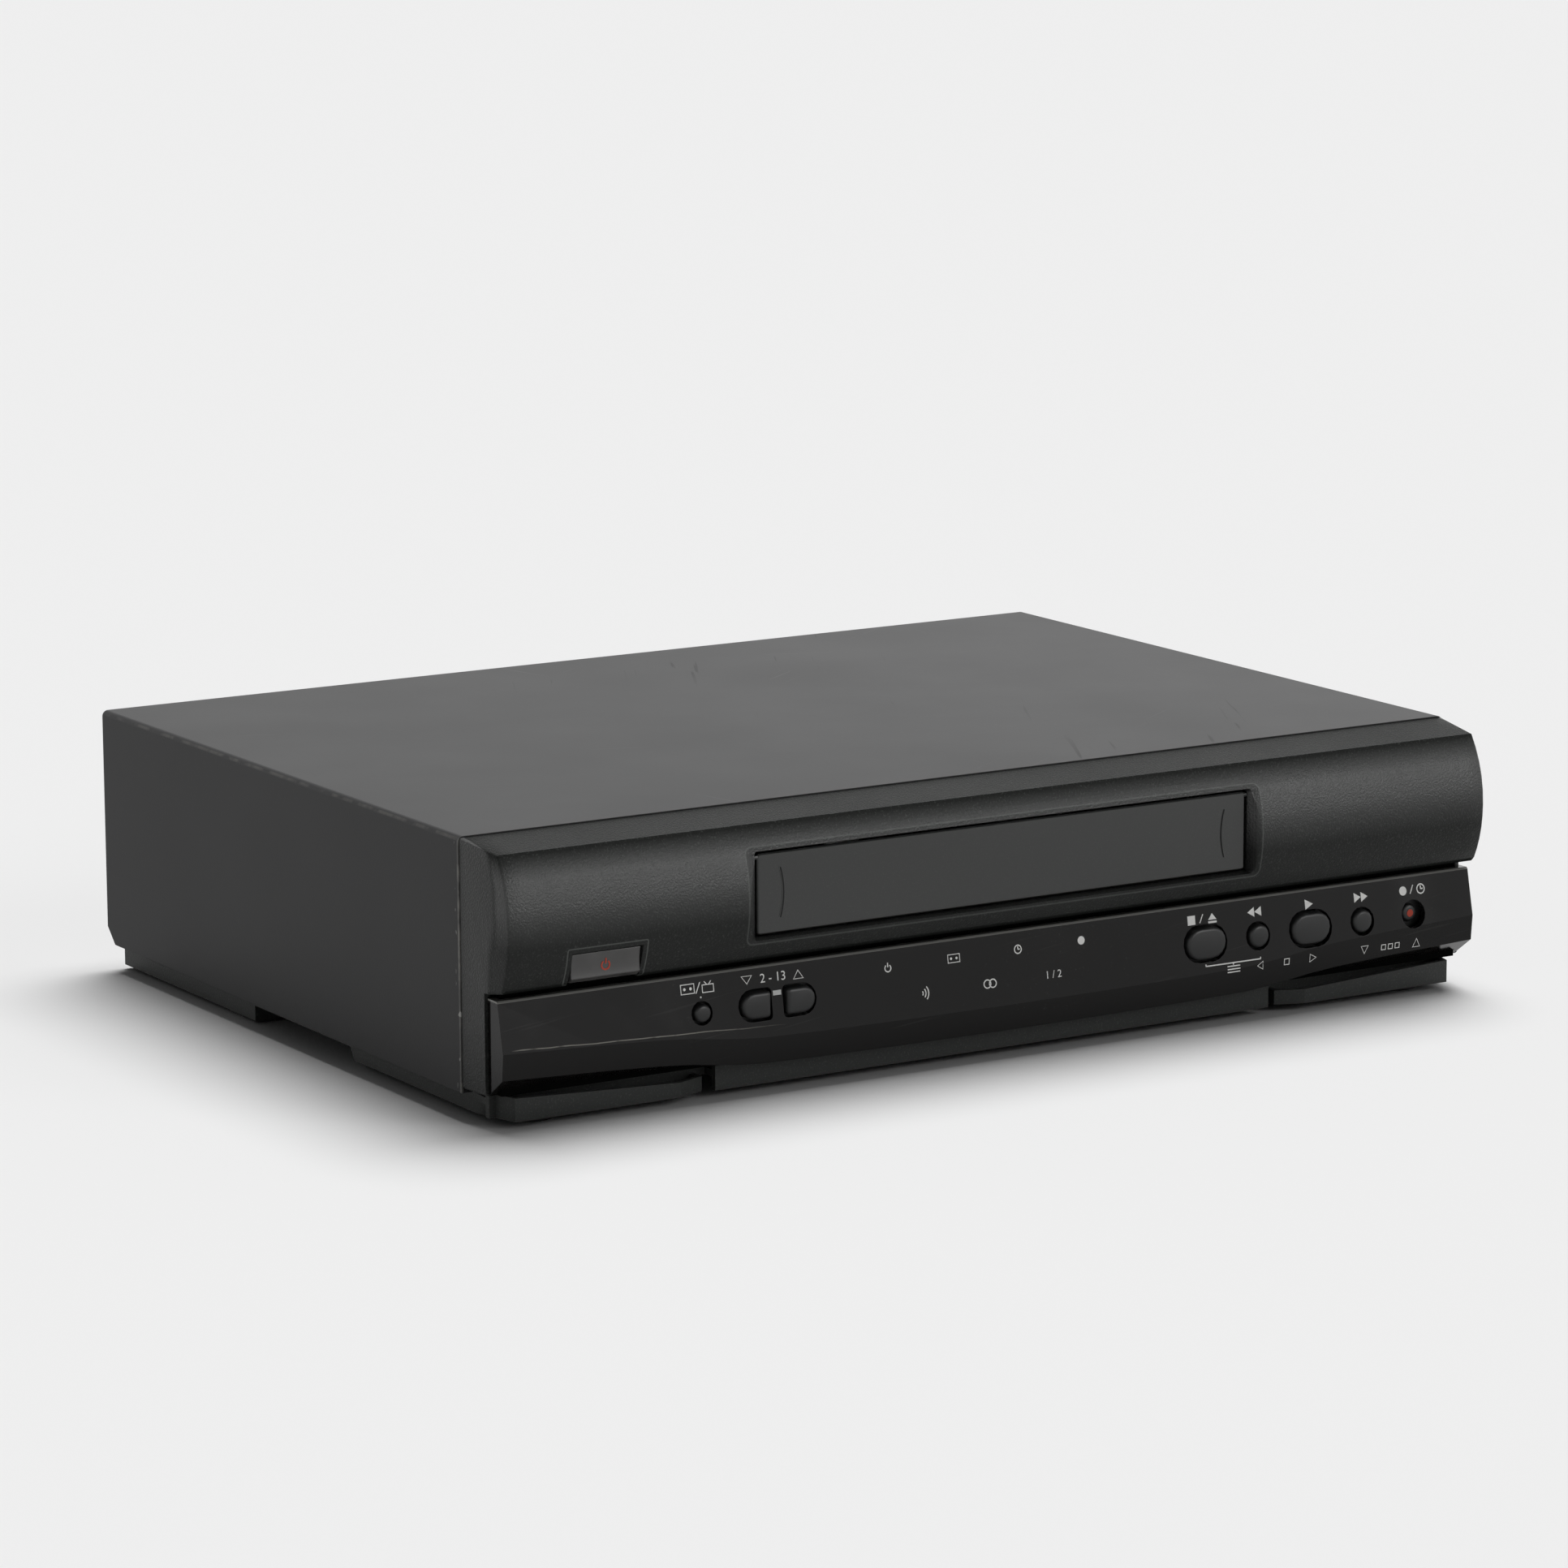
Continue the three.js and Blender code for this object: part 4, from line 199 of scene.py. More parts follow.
class RecorderLooks(bpy.types.PropertyGroup):
    """Colours and edge softness of the recorder."""

    cover_colour: bpy.props.FloatVectorProperty(
        name="Cover", description="Paint of the folded steel cover",
        subtype="COLOR", default=(0.0125, 0.0125, 0.0128), min=0, max=1,
    )
    front_colour: bpy.props.FloatVectorProperty(
        name="Front", description="Charcoal plastic of the front bezel and the door",
        subtype="COLOR", default=(0.0168, 0.0178, 0.0168), min=0, max=1,
    )
    panel_colour: bpy.props.FloatVectorProperty(
        name="Panel", description="Gloss plastic of the control panel",
        subtype="COLOR", default=(0.006, 0.0056, 0.0053), min=0, max=1,
    )
    key_colour: bpy.props.FloatVectorProperty(
        name="Power key", description="Smoother plastic of the power key",
        subtype="COLOR", default=(0.03, 0.029, 0.028), min=0, max=1,
    )
    button_colour: bpy.props.FloatVectorProperty(
        name="Buttons", description="Satin plastic of the button caps",
        subtype="COLOR", default=(0.0095, 0.0098, 0.0098), min=0, max=1,
    )
    base_colour: bpy.props.FloatVectorProperty(
        name="Base", description="Grained plastic of the base and its feet",
        subtype="COLOR", default=(0.0165, 0.0178, 0.0167), min=0, max=1,
    )
    legend_colour: bpy.props.FloatVectorProperty(
        name="Legends", description="Printing of the symbols on the panel",
        subtype="COLOR", default=(0.84, 0.84, 0.82), min=0, max=1,
    )
    mark_colour: bpy.props.FloatVectorProperty(
        name="Red marks", description="Printing of the power and record symbols",
        subtype="COLOR", default=(0.42, 0.045, 0.02), min=0, max=1,
    )
    moulded_edge: bpy.props.FloatProperty(
        name="Moulded edge", description="Rounding of the edges of plastic pieces",
        unit="LENGTH", default=0.00035, min=0, precision=5,
    )
    sheet_edge: bpy.props.FloatProperty(
        name="Sheet edge", description="Rounding of the edges of steel pieces",
        unit="LENGTH", default=0.0002, min=0, precision=5,
    )


class RecorderStage(bpy.types.PropertyGroup):
    """Floor, lights and camera."""

    floor_colour: bpy.props.FloatVectorProperty(
        name="Floor", description="Paper that the recorder stands on",
        subtype="COLOR", default=(0.863, 0.863, 0.863), min=0, max=1,
    )
    floor_size: bpy.props.FloatProperty(
        name="Floor size", description="Side of the square floor",
        unit="LENGTH", default=60, min=1,
    )
    sky_strength: bpy.props.FloatProperty(
        name="Sky", description="Strength of the even light from all round", default=0.1, min=0,
    )
    horizon_reflection: bpy.props.FloatProperty(
        name="Horizon reflection", description="Strength of the low sky where it is mirrored",
        default=1.3, min=0,
    )
    ceiling_reflection: bpy.props.FloatProperty(
        name="Ceiling reflection", description="Strength of the high sky where it is mirrored",
        default=0.25, min=0,
    )
    key_strength: bpy.props.FloatProperty(
        name="Key light", description="Strength of the broad light from above", default=2.85, min=0,
    )
    key_spread: bpy.props.FloatProperty(
        name="Key spread", description="Width of the broad light, seen from the recorder",
        subtype="ANGLE", default=math.radians(44),
    )
    key_from: bpy.props.FloatVectorProperty(
        name="Key from", description="Direction that the broad light comes from",
        subtype="XYZ", default=(0.28, 0.22, 1.0),
    )
    front_strength: bpy.props.FloatProperty(
        name="Front light", description="Strength of the light from the front right",
        default=0.3, min=0,
    )
    front_spread: bpy.props.FloatProperty(
        name="Front spread", description="Width of the front light, seen from the recorder",
        subtype="ANGLE", default=math.radians(24),
    )
    front_from: bpy.props.FloatVectorProperty(
        name="Front from", description="Direction that the front light comes from",
        subtype="XYZ", default=(0.48, -0.76, 0.44),
    )
    panel_light_strength: bpy.props.FloatProperty(
        name="Panel light", description="Strength of the soft panel that only gloss mirrors",
        default=4.2, min=0,
    )
    panel_light_core: bpy.props.FloatProperty(
        name="Panel light core", description="Half width of the evenly bright part of the soft panel",
        subtype="ANGLE", default=math.radians(8),
    )
    panel_light_reach: bpy.props.FloatProperty(
        name="Panel light reach", description="Half width at which the soft panel has faded out",
        subtype="ANGLE", default=math.radians(20),
    )
    panel_light_from: bpy.props.FloatVectorProperty(
        name="Panel light from", description="Direction that the soft panel is seen in",
        subtype="XYZ", default=(0.40, -0.80, 0.46),
    )
    lens: bpy.props.FloatProperty(
        name="Lens", description="Focal length on a 36 mm sensor", default=139.7, min=1,
    )
    camera_place: bpy.props.FloatVectorProperty(
        name="Camera place", description="Where the camera stands",
        subtype="XYZ", unit="LENGTH", default=(-1.1163, -1.82485, 0.4917),
    )
    camera_yaw: bpy.props.FloatProperty(
        name="Yaw", description="Turn of the view to the right of straight on",
        subtype="ANGLE", default=math.radians(31.40),
    )
    camera_pitch: bpy.props.FloatProperty(
        name="Pitch", description="Tilt of the view below the horizon",
        subtype="ANGLE", default=math.radians(11.10),
    )
    camera_roll: bpy.props.FloatProperty(
        name="Roll", description="Turn of the camera about its own axis",
        subtype="ANGLE", default=math.radians(-0.249),
    )


def looks():
    return bpy.context.scene.recorder_looks


def stage_settings():
    return bpy.context.scene.recorder_stage


# Materials

class Nodes:
    """Shader nodes while they are laid out and linked."""

    def __init__(self, tree):
        self.tree = tree

    def feed(self, value, socket):
        if isinstance(value, (int, float, tuple)):
            socket.default_value = value
        else:
            self.tree.links.new(value, socket)

    def node(self, kind, inputs=None, **settings):
        node = self.tree.nodes.new(kind)
        for setting, value in settings.items():
            setattr(node, setting, value)
        for name, value in (inputs or {}).items():
            self.feed(value, node.inputs[name])
        return node

    def math(self, operation, first, second=0.0):
        return self.node("ShaderNodeMath", {0: first, 1: second}, operation=operation).outputs[0]

    def mapped(self, value, source=(0, 1), result=(0, 1), **settings):
        """Takes a value from its source range to its place in the result's range."""
        inputs = {"Value": value}
        for name, (low, high) in (("From", source), ("To", result)):
            inputs[name + " Min"] = low
            inputs[name + " Max"] = high
        return self.node("ShaderNodeMapRange", inputs, **settings).outputs["Result"]

    def axis(self, letter, place):
        return self.node("ShaderNodeSeparateXYZ", {"Vector": place}).outputs[letter]


class Finish(Nodes):
    """A material while it is made: its shader and the patterns that feed it."""

    def __init__(self, name, colour, roughness, metallic=0.0, specular=0.5):
        self.material = bpy.data.materials.new(name)
        self.material.use_nodes = True
        super().__init__(self.material.node_tree)
        self.shader = self.tree.nodes["Principled BSDF"].inputs
        self.shader["Base Color"].default_value = (*colour, 1)
        self.shader["Roughness"].default_value = roughness
        self.shader["Metallic"].default_value = metallic
        self.shader["Specular IOR Level"].default_value = specular
        self.place = self.node("ShaderNodeTexCoord").outputs["Object"]

    def noise(self, scale, detail=2.0, place=None):
        inputs = {"Scale": scale, "Detail": detail, "Vector": place or self.place}
        return self.node("ShaderNodeTexNoise", inputs).outputs["Fac"]

    def patches(self, scale, detail, start, full):
        """Spots of noise, nought where it is at start and one where it is at full."""
        return self.mask(self.noise(scale, detail), start, full)

    def streaks(self, scale, turn=(0, 0, 0), detail=2):
        """Noise over a place that is turned, then drawn out."""
        turned = self.node("ShaderNodeMapping", {"Rotation": turn, "Vector": self.place})
        inputs = {"Scale": scale, "Vector": turned.outputs["Vector"]}
        return self.noise(1, detail, self.node("ShaderNodeMapping", inputs).outputs["Vector"])

    def cells(self, scale):
        inputs = {"Scale": scale, "Vector": self.place}
        return self.node("ShaderNodeTexVoronoi", inputs).outputs["Distance"]

    def across(self, letter):
        """How far a place lies along one axis of the recorder."""
        return self.axis(letter, self.place)

    def mask(self, source, start, full):
        """Nought where the source is at start, one where it is at full."""
        return self.mapped(source, (start, full))

    def band(self, source, edge, depths, side=1):
        """Nought at the first depth from an edge, one at the second, counted down or, for -1, up."""
        start, full = depths
        return self.mask(source, edge - side * start, edge - side * full)

    def outside(self, low, high):
        """How far a place lies outside a rectangle that stands square to the front."""
        gaps = []
        for letter in ("x", "z"):
            middle = (getattr(low, letter) + getattr(high, letter)) / 2
            half = (getattr(high, letter) - getattr(low, letter)) / 2
            offset = self.math("SUBTRACT", self.across(letter.upper()), middle)
            gap = self.math("SUBTRACT", self.math("ABSOLUTE", offset), half)
            gaps.append(self.math("MAXIMUM", gap, 0.0))
        squares = [self.math("MULTIPLY", gap, gap) for gap in gaps]
        return self.math("SQRT", self.math("ADD", *squares))

    def line(self, distance, place, width):
        """One where a distance is just at a place, nought half a width away."""
        off = self.math("ABSOLUTE", self.math("SUBTRACT", distance, place))
        return self.mask(off, width / 2, 0.0)

    def both(self, first, *others):
        """One only where all of the masks are."""
        for other in others:
            first = self.math("MULTIPLY", first, other)
        return first

    def either(self, first, second):
        return self.math("MAXIMUM", first, second)

    def mixed(self, mask, first, second):
        node = self.node("ShaderNodeMix", {"Factor": mask}, data_type="RGBA")
        colours = [socket for socket in node.inputs if socket.type == "RGBA"]
        for socket, colour in zip(colours, (first, second)):
            self.feed((*colour, 1) if isinstance(colour, tuple) else colour, socket)
        return next(socket for socket in node.outputs if socket.type == "RGBA")

    def colour(self, source):
        self.feed(source, self.shader["Base Color"])

    def roughness(self, mask, smooth, rough):
        self.feed(self.mapped(mask, result=(smooth, rough)), self.shader["Roughness"])

    def specular(self, mask, low, high):
        self.feed(self.mapped(mask, result=(low, high)), self.shader["Specular IOR Level"])

    def bump(self, height, depth, strength=1.0):
        """A relief of the surface. A second one is laid over the first."""
        inputs = {"Strength": strength, "Distance": depth, "Height": height}
        surface = self.shader["Normal"]
        if surface.is_linked:
            inputs["Normal"] = surface.links[0].from_socket
        self.feed(self.node("ShaderNodeBump", inputs).outputs["Normal"], surface)


def shade(colour, factor):
    return tuple(min(1.0, channel * factor) for channel in colour)


def cover_paint():
    """Dark grey baked paint with fine peel, scratches on the top and worn edges."""
    paint = tuple(looks().cover_colour)
    finish = Finish("cover_paint", paint, 0.46)
    clouds = finish.patches(16, 4, 0.3, 0.75)
    colour = finish.mixed(clouds, shade(paint, 0.94), shade(paint, 1.1))
    speckle = finish.patches(2600, 1, 0.45, 0.7)
    colour = finish.mixed(finish.both(speckle, 0.35), colour, shade(paint, 1.35))
    on_top = finish.band(finish.across("Z"), COVER_HIGH.z, TOP_BAND)
    colour = scratched(finish, colour, paint, on_top)
    dull_streaks = finish.mask(finish.streaks((14, 300, 14), (0, 0, -1.1)), 0.68, 0.72)
    dull = finish.both(dull_streaks, finish.patches(6, 1, 0.5, 0.6), on_top)
    finish.specular(dull, COVER_SHEEN, COVER_SHEEN / 2)
    finish.colour(worn_at_edges(finish, colour))
    finish.roughness(clouds, 0.45, 0.485)
    finish.bump(finish.noise(1300, 2), COVER_PEEL, 0.35)
    return finish.material


def scratched(finish, colour, paint, on_top):
    """Fine scratches in three directions, each in patches of its own."""
    for turn, patch_scale in ((0.35, 11), (-0.6, 8), (1.35, 13)):
        lines = finish.mask(finish.streaks((9, 520, 9), (0, 0, turn)), 0.705, 0.735)
        patch = finish.patches(patch_scale, 2, 0.56, 0.66)
        scratch = finish.both(lines, patch, on_top, 0.5)
        colour = finish.mixed(scratch, colour, shade(paint, 7))
    return colour


def worn_at_edges(finish, colour):
    """Paint rubbed off the folds in patches, the upright front edges lighter all along, and chips
    beside the front edge.
    """
    side = finish.math("ABSOLUTE", finish.across("X"))
    near_side = finish.band(side, COVER_HIGH.x, SIDE_WEAR)
    near_top = finish.band(finish.across("Z"), COVER_HIGH.z, TOP_WEAR)
    near_front = finish.band(finish.across("Y"), COVER_LOW.y, FRONT_WEAR, -1)
    upright_edge = finish.both(near_front, near_side)
    edges = finish.either(upright_edge, finish.both(near_side, near_top))
    rub = finish.patches(130, 4, 0.42, 0.6)
    colour = finish.mixed(finish.both(edges, rub, 0.5), colour, WORN_EDGE_COLOUR)
    # The upright front edges are lighter all along their length.
    colour = finish.mixed(finish.both(upright_edge, 0.4), colour, CORNER_COLOUR)
    chip_band = finish.band(finish.across("Y"), COVER_LOW.y, CHIP_BAND, -1)
    spots = finish.patches(260, 1, 0.66, 0.7)
    chips = finish.both(spots, chip_band, near_side, 0.8)
    return finish.mixed(chips, colour, CHIP_COLOUR)


def grained_plastic(name, colour, grain_depth, roughness, sheen, details=()):
    """Moulded plastic with a fine grain, whose tips are painted lighter as glints."""
    finish = Finish(name, colour, roughness, specular=sheen)
    grain = finish.noise(1500, 3)
    painted_glints = finish.mask(grain, 0.56, 0.74)
    clouds = finish.patches(20, 3, 0.3, 0.75)
    tone = finish.mixed(clouds, shade(colour, 0.93), shade(colour, 1.1))
    # The grain's tips are painted lighter here, as a painted glint.
    tone = finish.mixed(finish.both(painted_glints, 0.6), tone, shade(colour, 3.6))
    for detail in details:
        tone = detail(finish, tone, colour)
    finish.colour(tone)
    finish.roughness(clouds, roughness - 0.04, roughness + 0.05)
    finish.bump(grain, grain_depth, 0.6)
    return finish.material


def fitting_edges_and_painted_light(finish, tone, colour):
    """The turned-in rim of the cassette pocket, with a painted shadow in the gap round the door and a
    painted highlight line on the rim, and painted highlight lines on the lips of the power key's
    notch.
    """
    from_door = finish.outside(DOOR_LOW, DOOR_HIGH)
    finish.bump(finish.mask(from_door, 0.0, POCKET_RIM), RIM_DEPTH)
    # A painted shadow in the gap round the door.
    tone = finish.mixed(finish.mask(from_door, *POCKET_SHADOW), tone, shade(colour, 0.25))
    # A painted highlight line along the pocket's rim.
    rim = finish.line(from_door, POCKET_RIM, POCKET_HIGHLIGHT_WIDTH)
    tone = finish.mixed(finish.both(rim, 0.6), tone, shade(colour, 6))
    # A painted highlight line on the lips of the power key's notch.
    lip = finish.line(finish.outside(KEY_LOW, KEY_HIGH), KEY_HIGHLIGHT_PLACE, KEY_HIGHLIGHT_WIDTH)
    return finish.mixed(finish.both(lip, 0.7), tone, shade(colour, 8))


def nose_sheen(finish, tone, colour):
    """A highlight on the nose's crown, with its ridge dull, the groove dull and painted darker as
    shade, and even end faces.
    """
    sideways = finish.math("ABSOLUTE", finish.across("X"))
    upwards = finish.across("Z")
    crown = finish.band(upwards, BEZEL_HIGH.z, CROWN_BAND)
    ridge = finish.both(finish.band(upwards, BEZEL_HIGH.z, RIDGE_BAND), RIDGE_DULL_SHARE)
    shaded_groove = finish.both(
        finish.band(upwards, PANEL_HIGH.z, GROOVE_BAND, -1),
        finish.band(sideways, PANEL_HIGH.x, GROOVE_ENDS),
    )
    end_start = BEZEL_HIGH.x - END_SLANT
    inner = finish.mask(sideways, end_start, end_start - END_FADE)
    end = finish.mask(sideways, end_start - END_FADE, end_start)
    sheen = finish.math("SUBTRACT", finish.either(crown, LOWER_SHEEN_SHARE), ridge)
    sheen = finish.either(finish.both(sheen, inner), finish.both(end, END_SHEEN_SHARE))
    finish.specular(finish.math("SUBTRACT", sheen, shaded_groove), 0.0, CROWN_SHEEN)
    # The groove is painted darker, as a painted shade.
    return finish.mixed(shaded_groove, tone, shade(colour, 0.2))


def gloss_plastic():
    """Near-black gloss with faint dust, hairlines, a painted highlight along the upper rim and a
    rubbed crease.
    """
    colour = tuple(looks().panel_colour)
    finish = Finish("panel_gloss", colour, 0.16, specular=PANEL_SHEEN)
    dust = finish.patches(900, 3, 0.64, 0.74)
    patches = finish.patches(26, 3, 0.5, 0.7)
    hairs = finish.mask(finish.streaks((20, 20, 900), (0, 0.12, 0)), 0.68, 0.74)
    marks = finish.either(finish.both(dust, patches), finish.both(hairs, 0.5))
    tone = finish.mixed(finish.both(marks, 0.35), colour, DUST_COLOUR)
    near_top = finish.band(finish.across("Z"), PANEL_HIGH.z, PANEL_HIGHLIGHT_BAND)
    # A painted highlight along the panel's upper rim.
    tone = finish.mixed(finish.both(near_top, 0.8), tone, PANEL_HIGHLIGHT_COLOUR)
    tone = finish.mixed(finish.both(scuffed_crease(finish), 0.9), tone, SCUFF_COLOUR)
    finish.colour(tone)
    finish.roughness(patches, 0.13, 0.24)
    return finish.material


def scuffed_crease(finish):
    """A rubbed line along the panel's crease, near its left end."""
    along = finish.across("X")
    waves = finish.math("MULTIPLY", finish.streaks((45, 0, 0)), SCUFF_WAVE)
    fall = finish.math("MULTIPLY", finish.math("SUBTRACT", along, SCUFF_START), SCUFF_FALL_SHARE)
    height = finish.math("ADD", finish.math("ADD", finish.across("Z"), fall), waves)
    stroke = finish.line(height, SCUFF_HEIGHT + SCUFF_WAVE / 2, SCUFF_STROKE)
    ends = finish.both(
        finish.mask(along, SCUFF_START, SCUFF_START + SCUFF_FADE_IN),
        finish.mask(along, SCUFF_START + SCUFF_LENGTH, SCUFF_START + SCUFF_FULL_LENGTH),
    )
    gaps = finish.patches(160, 2, 0.25, 0.45)
    return finish.both(stroke, ends, gaps)


def satin_plastic(name, colour, roughness=0.42):
    """Smooth moulded plastic with slight clouding."""
    finish = Finish(name, colour, roughness, specular=0.35)
    clouds = finish.patches(60, 3, 0.3, 0.75)
    finish.colour(finish.mixed(clouds, shade(colour, 0.9), shade(colour, 1.15)))
    finish.roughness(clouds, roughness - 0.05, roughness + 0.06)
    finish.bump(finish.noise(1800, 2), FINE_GRAIN, 0.3)
    return finish.material


def door_plastic():
    """The flap's plastic, with a rubbed patch near its right end."""
    colour = tuple(looks().front_colour)
    finish = Finish("door_plastic", shade(colour, 1.2), 0.4, specular=0.5)
    grain = finish.noise(2300, 2)
    across = finish.mask(finish.streaks((30, 30, 9), (0, 0.35, 0), 3), 0.5, 0.68)
    to_right = finish.mask(finish.across("X"), SMEAR_START, SMEAR_FULL)
    smear = finish.both(across, to_right)
    tone = finish.mixed(finish.mask(grain, 0.55, 0.75), colour, shade(colour, 1.7))
    finish.colour(finish.mixed(finish.both(smear, 0.3), tone, shade(colour, 1.8)))
    finish.roughness(smear, 0.36, 0.52)
    finish.bump(grain, FINE_GRAIN, 0.35)
    return finish.material


def key_plastic():
    """The power key: smoother than the front, and polished by fingers in its middle."""
    colour = tuple(looks().key_colour)
    finish = Finish("key_plastic", colour, 0.34, specular=0.6)
    grain = finish.noise(1500, 2)
    rubbed = finish.patches(90, 2, 0.4, 0.65)
    finish.colour(finish.mixed(rubbed, colour, shade(colour, 1.5)))
    finish.roughness(rubbed, 0.4, 0.3)
    finish.bump(grain, KEY_GRAIN, 0.4)
    return finish.material


def brushed_steel(name, colour, roughness, grain=(30, 900, 30)):
    """Zinc plated sheet with a rolled grain and a faint spangle."""
    finish = Finish(name, colour, roughness, STEEL_METALLIC)
    streaks = finish.streaks(grain, detail=3)
    spangle = finish.mask(finish.cells(90), 0.1, 0.7)
    tone = finish.mixed(spangle, shade(colour, 0.9), shade(colour, 1.06))
    dark_streaks = finish.both(finish.mask(streaks, 0.4, 0.7), 0.5)
    finish.colour(finish.mixed(dark_streaks, tone, shade(colour, 0.8)))
    finish.roughness(streaks, roughness - 0.08, roughness + 0.12)
    finish.bump(streaks, ROLLED_GRAIN, 0.3)
    return finish.material


def soft_rubber(name, colour):
    """Matt rubber with a dusty bloom."""
    finish = Finish(name, colour, 0.85, specular=0.3)
    bloom = finish.patches(180, 4, 0.45, 0.7)
    finish.colour(finish.mixed(finish.both(bloom, 0.5), colour, shade(colour, 2.2)))
    finish.roughness(bloom, 0.78, 0.95)
    finish.bump(finish.noise(1500, 2), RUBBER_GRAIN, 0.5)
    return finish.material


def board_laminate(name, colour, track_colour):
    """Circuit board laminate with tracks showing through the solder resist."""
    finish = Finish(name, colour, 0.38, specular=0.5)
    inputs = {"Scale": 90, "Mortar Size": 0.06, "Vector": finish.place}
    grid = finish.node("ShaderNodeTexBrick", inputs, offset=0.5).outputs["Fac"]
    tracks = finish.both(grid, finish.patches(70, 2, 0.45, 0.55))
    pads = finish.mask(finish.cells(330), 0.28, 0.2)
    tone = finish.mixed(finish.both(tracks, 0.7), colour, track_colour)
    finish.colour(finish.mixed(finish.both(pads, 0.5), tone, SOLDER_COLOUR))
    finish.bump(grid, TRACK_RELIEF, 0.5)
    finish.roughness(tracks, 0.34, 0.5)
    return finish.material


def printed_ink(name, colour):
    """Flat printing ink with slightly uneven cover."""
    finish = Finish(name, colour, 0.5, specular=0.3)
    thin = finish.patches(700, 2, 0.55, 0.8)
    finish.colour(finish.mixed(finish.both(thin, 0.3), colour, shade(colour, 0.7)))
    finish.roughness(thin, 0.45, 0.6)
    return finish.material


def make_materials():
    """All of the recorder's materials, by name."""
    set_looks = looks()
    front_colour = tuple(set_looks.front_colour)
    base_colour = tuple(set_looks.base_colour)
    return {
        "cover": cover_paint(),
        "front": grained_plastic(
            "front_plastic", front_colour, FRONT_GRAIN, 0.38, FRONT_SHEEN,
            details=(fitting_edges_and_painted_light, nose_sheen),
        ),
        "key": key_plastic(),
        "panel": gloss_plastic(),
        "button": satin_plastic("button_plastic", tuple(set_looks.button_colour)),
        "door": door_plastic(),
        "base": grained_plastic("base_plastic", base_colour, BASE_GRAIN, 0.55, BASE_SHEEN),
        "pad": soft_rubber("pad_rubber", (0.012, 0.012, 0.012)),
        "belt": soft_rubber("belt_rubber", (0.01, 0.01, 0.01)),
        "steel": brushed_steel("plated_steel", (0.25, 0.25, 0.245), 0.5),
        "bright_steel": brushed_steel("bright_steel", (0.3, 0.3, 0.305), 0.42, (400, 400, 30)),
        "drum": brushed_steel("drum_alloy", (0.34, 0.345, 0.35), 0.42, (20, 20, 1600)),
        "rear": satin_plastic("rear_paint", (0.016, 0.016, 0.017), 0.5),
        "bronze": brushed_steel("bearing_bronze", (0.5, 0.33, 0.16), 0.35),
        "white": satin_plastic("white_plastic", (0.62, 0.61, 0.56), 0.45),
        "black": satin_plastic("black_plastic", (0.014, 0.014, 0.015), 0.4),
        "green_board": board_laminate("green_laminate", (0.02, 0.075, 0.03), (0.05, 0.14, 0.06)),
        "tan_board": board_laminate("tan_laminate", (0.2, 0.12, 0.05), (0.26, 0.17, 0.08)),
        "legend": printed_ink("legend_ink", tuple(set_looks.legend_colour)),
        "red_mark": printed_ink("red_ink", tuple(set_looks.mark_colour)),
        "yellow_ring": satin_plastic("yellow_ring", (0.65, 0.45, 0.02)),
        "white_ring": satin_plastic("white_ring", (0.65, 0.65, 0.62)),
        "red_ring": satin_plastic("red_ring", (0.45, 0.02, 0.015)),
        "score": satin_plastic("score_line", (0.002, 0.002, 0.002), 0.9),
        "score_highlight": satin_plastic("score_highlight", (0.05, 0.052, 0.05), 0.5),
        "glow": satin_plastic("pale_insert", (0.55, 0.56, 0.55), 0.3),
    }


materials = {}


def material(name):
    if not materials:
        materials.update(make_materials())
    return materials[name]


# Shaping

def node_copy(node):
    """A CAD node's mesh as a bmesh, with its triangles joined into flat faces."""
    mesh = bmesh.new()
    mesh.from_mesh(frame["nodes"][node].data)
    bmesh.ops.remove_doubles(mesh, verts=mesh.verts, dist=MERGE_DISTANCE)
    bmesh.ops.dissolve_limit(mesh, angle_limit=FLAT_ANGLE, verts=mesh.verts, edges=mesh.edges)
    return mesh


def linked(name, data):
    """A new object of the scene that holds the data."""
    item = bpy.data.objects.new(name, data)
    bpy.context.scene.collection.objects.link(item)
    return item


def add_piece(name, mesh, finish, node, edge=0.0, others=(), smooth=SMOOTH_ANGLE):
    """Makes an object of a bmesh, softens its edges and lets it ride with a CAD node."""
    data = bpy.data.meshes.new(name)
    mesh.to_mesh(data)
    mesh.free()
    piece = linked(name, data)
    for used in (finish, *others):
        data.materials.append(material(used))
    data.polygons.foreach_set("use_smooth", [True] * len(data.polygons))
    data.set_sharp_from_angle(angle=smooth)
    if edge:
        bevel = piece.modifiers.new("edge", "BEVEL")
        bevel.width = edge
        bevel.segments = BEVEL_STEPS
        bevel.limit_method = "ANGLE"
        bevel.angle_limit = BEVEL_ANGLE
        bevel.harden_normals = True
        bevel.use_clamp_overlap = True
    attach(piece, frame["nodes"][node]["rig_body"])
    return piece


def slice_across(mesh, node):
    """Cuts the long faces of a wide piece across, so that their shading runs evenly."""
    low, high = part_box(node)
    place = low.x + SLICE
    while place < high.x:
        parts = [*mesh.verts, *mesh.edges, *mesh.faces]
        bmesh.ops.bisect_plane(mesh, geom=parts, plane_co=(place, 0, 0), plane_no=(1, 0, 0))
        place += SLICE


def dress(node, name, finish, edge=0.0, others=(), choose=None, smooth=SMOOTH_ANGLE, sliced=False):
    """Replaces a CAD node by a copy with soft edges. choose(centre) picks the material of a face."""
    mesh = node_copy(node)
    if sliced:
        slice_across(mesh, node)
    if choose:
        for face in mesh.faces:
            face.material_index = choose(face.calc_center_median())
    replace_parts(add_piece(name, mesh, finish, node, edge, others, smooth), node)


# Flat symbols. They are drawn in millimetres as seen from the front, then laid on a surface.

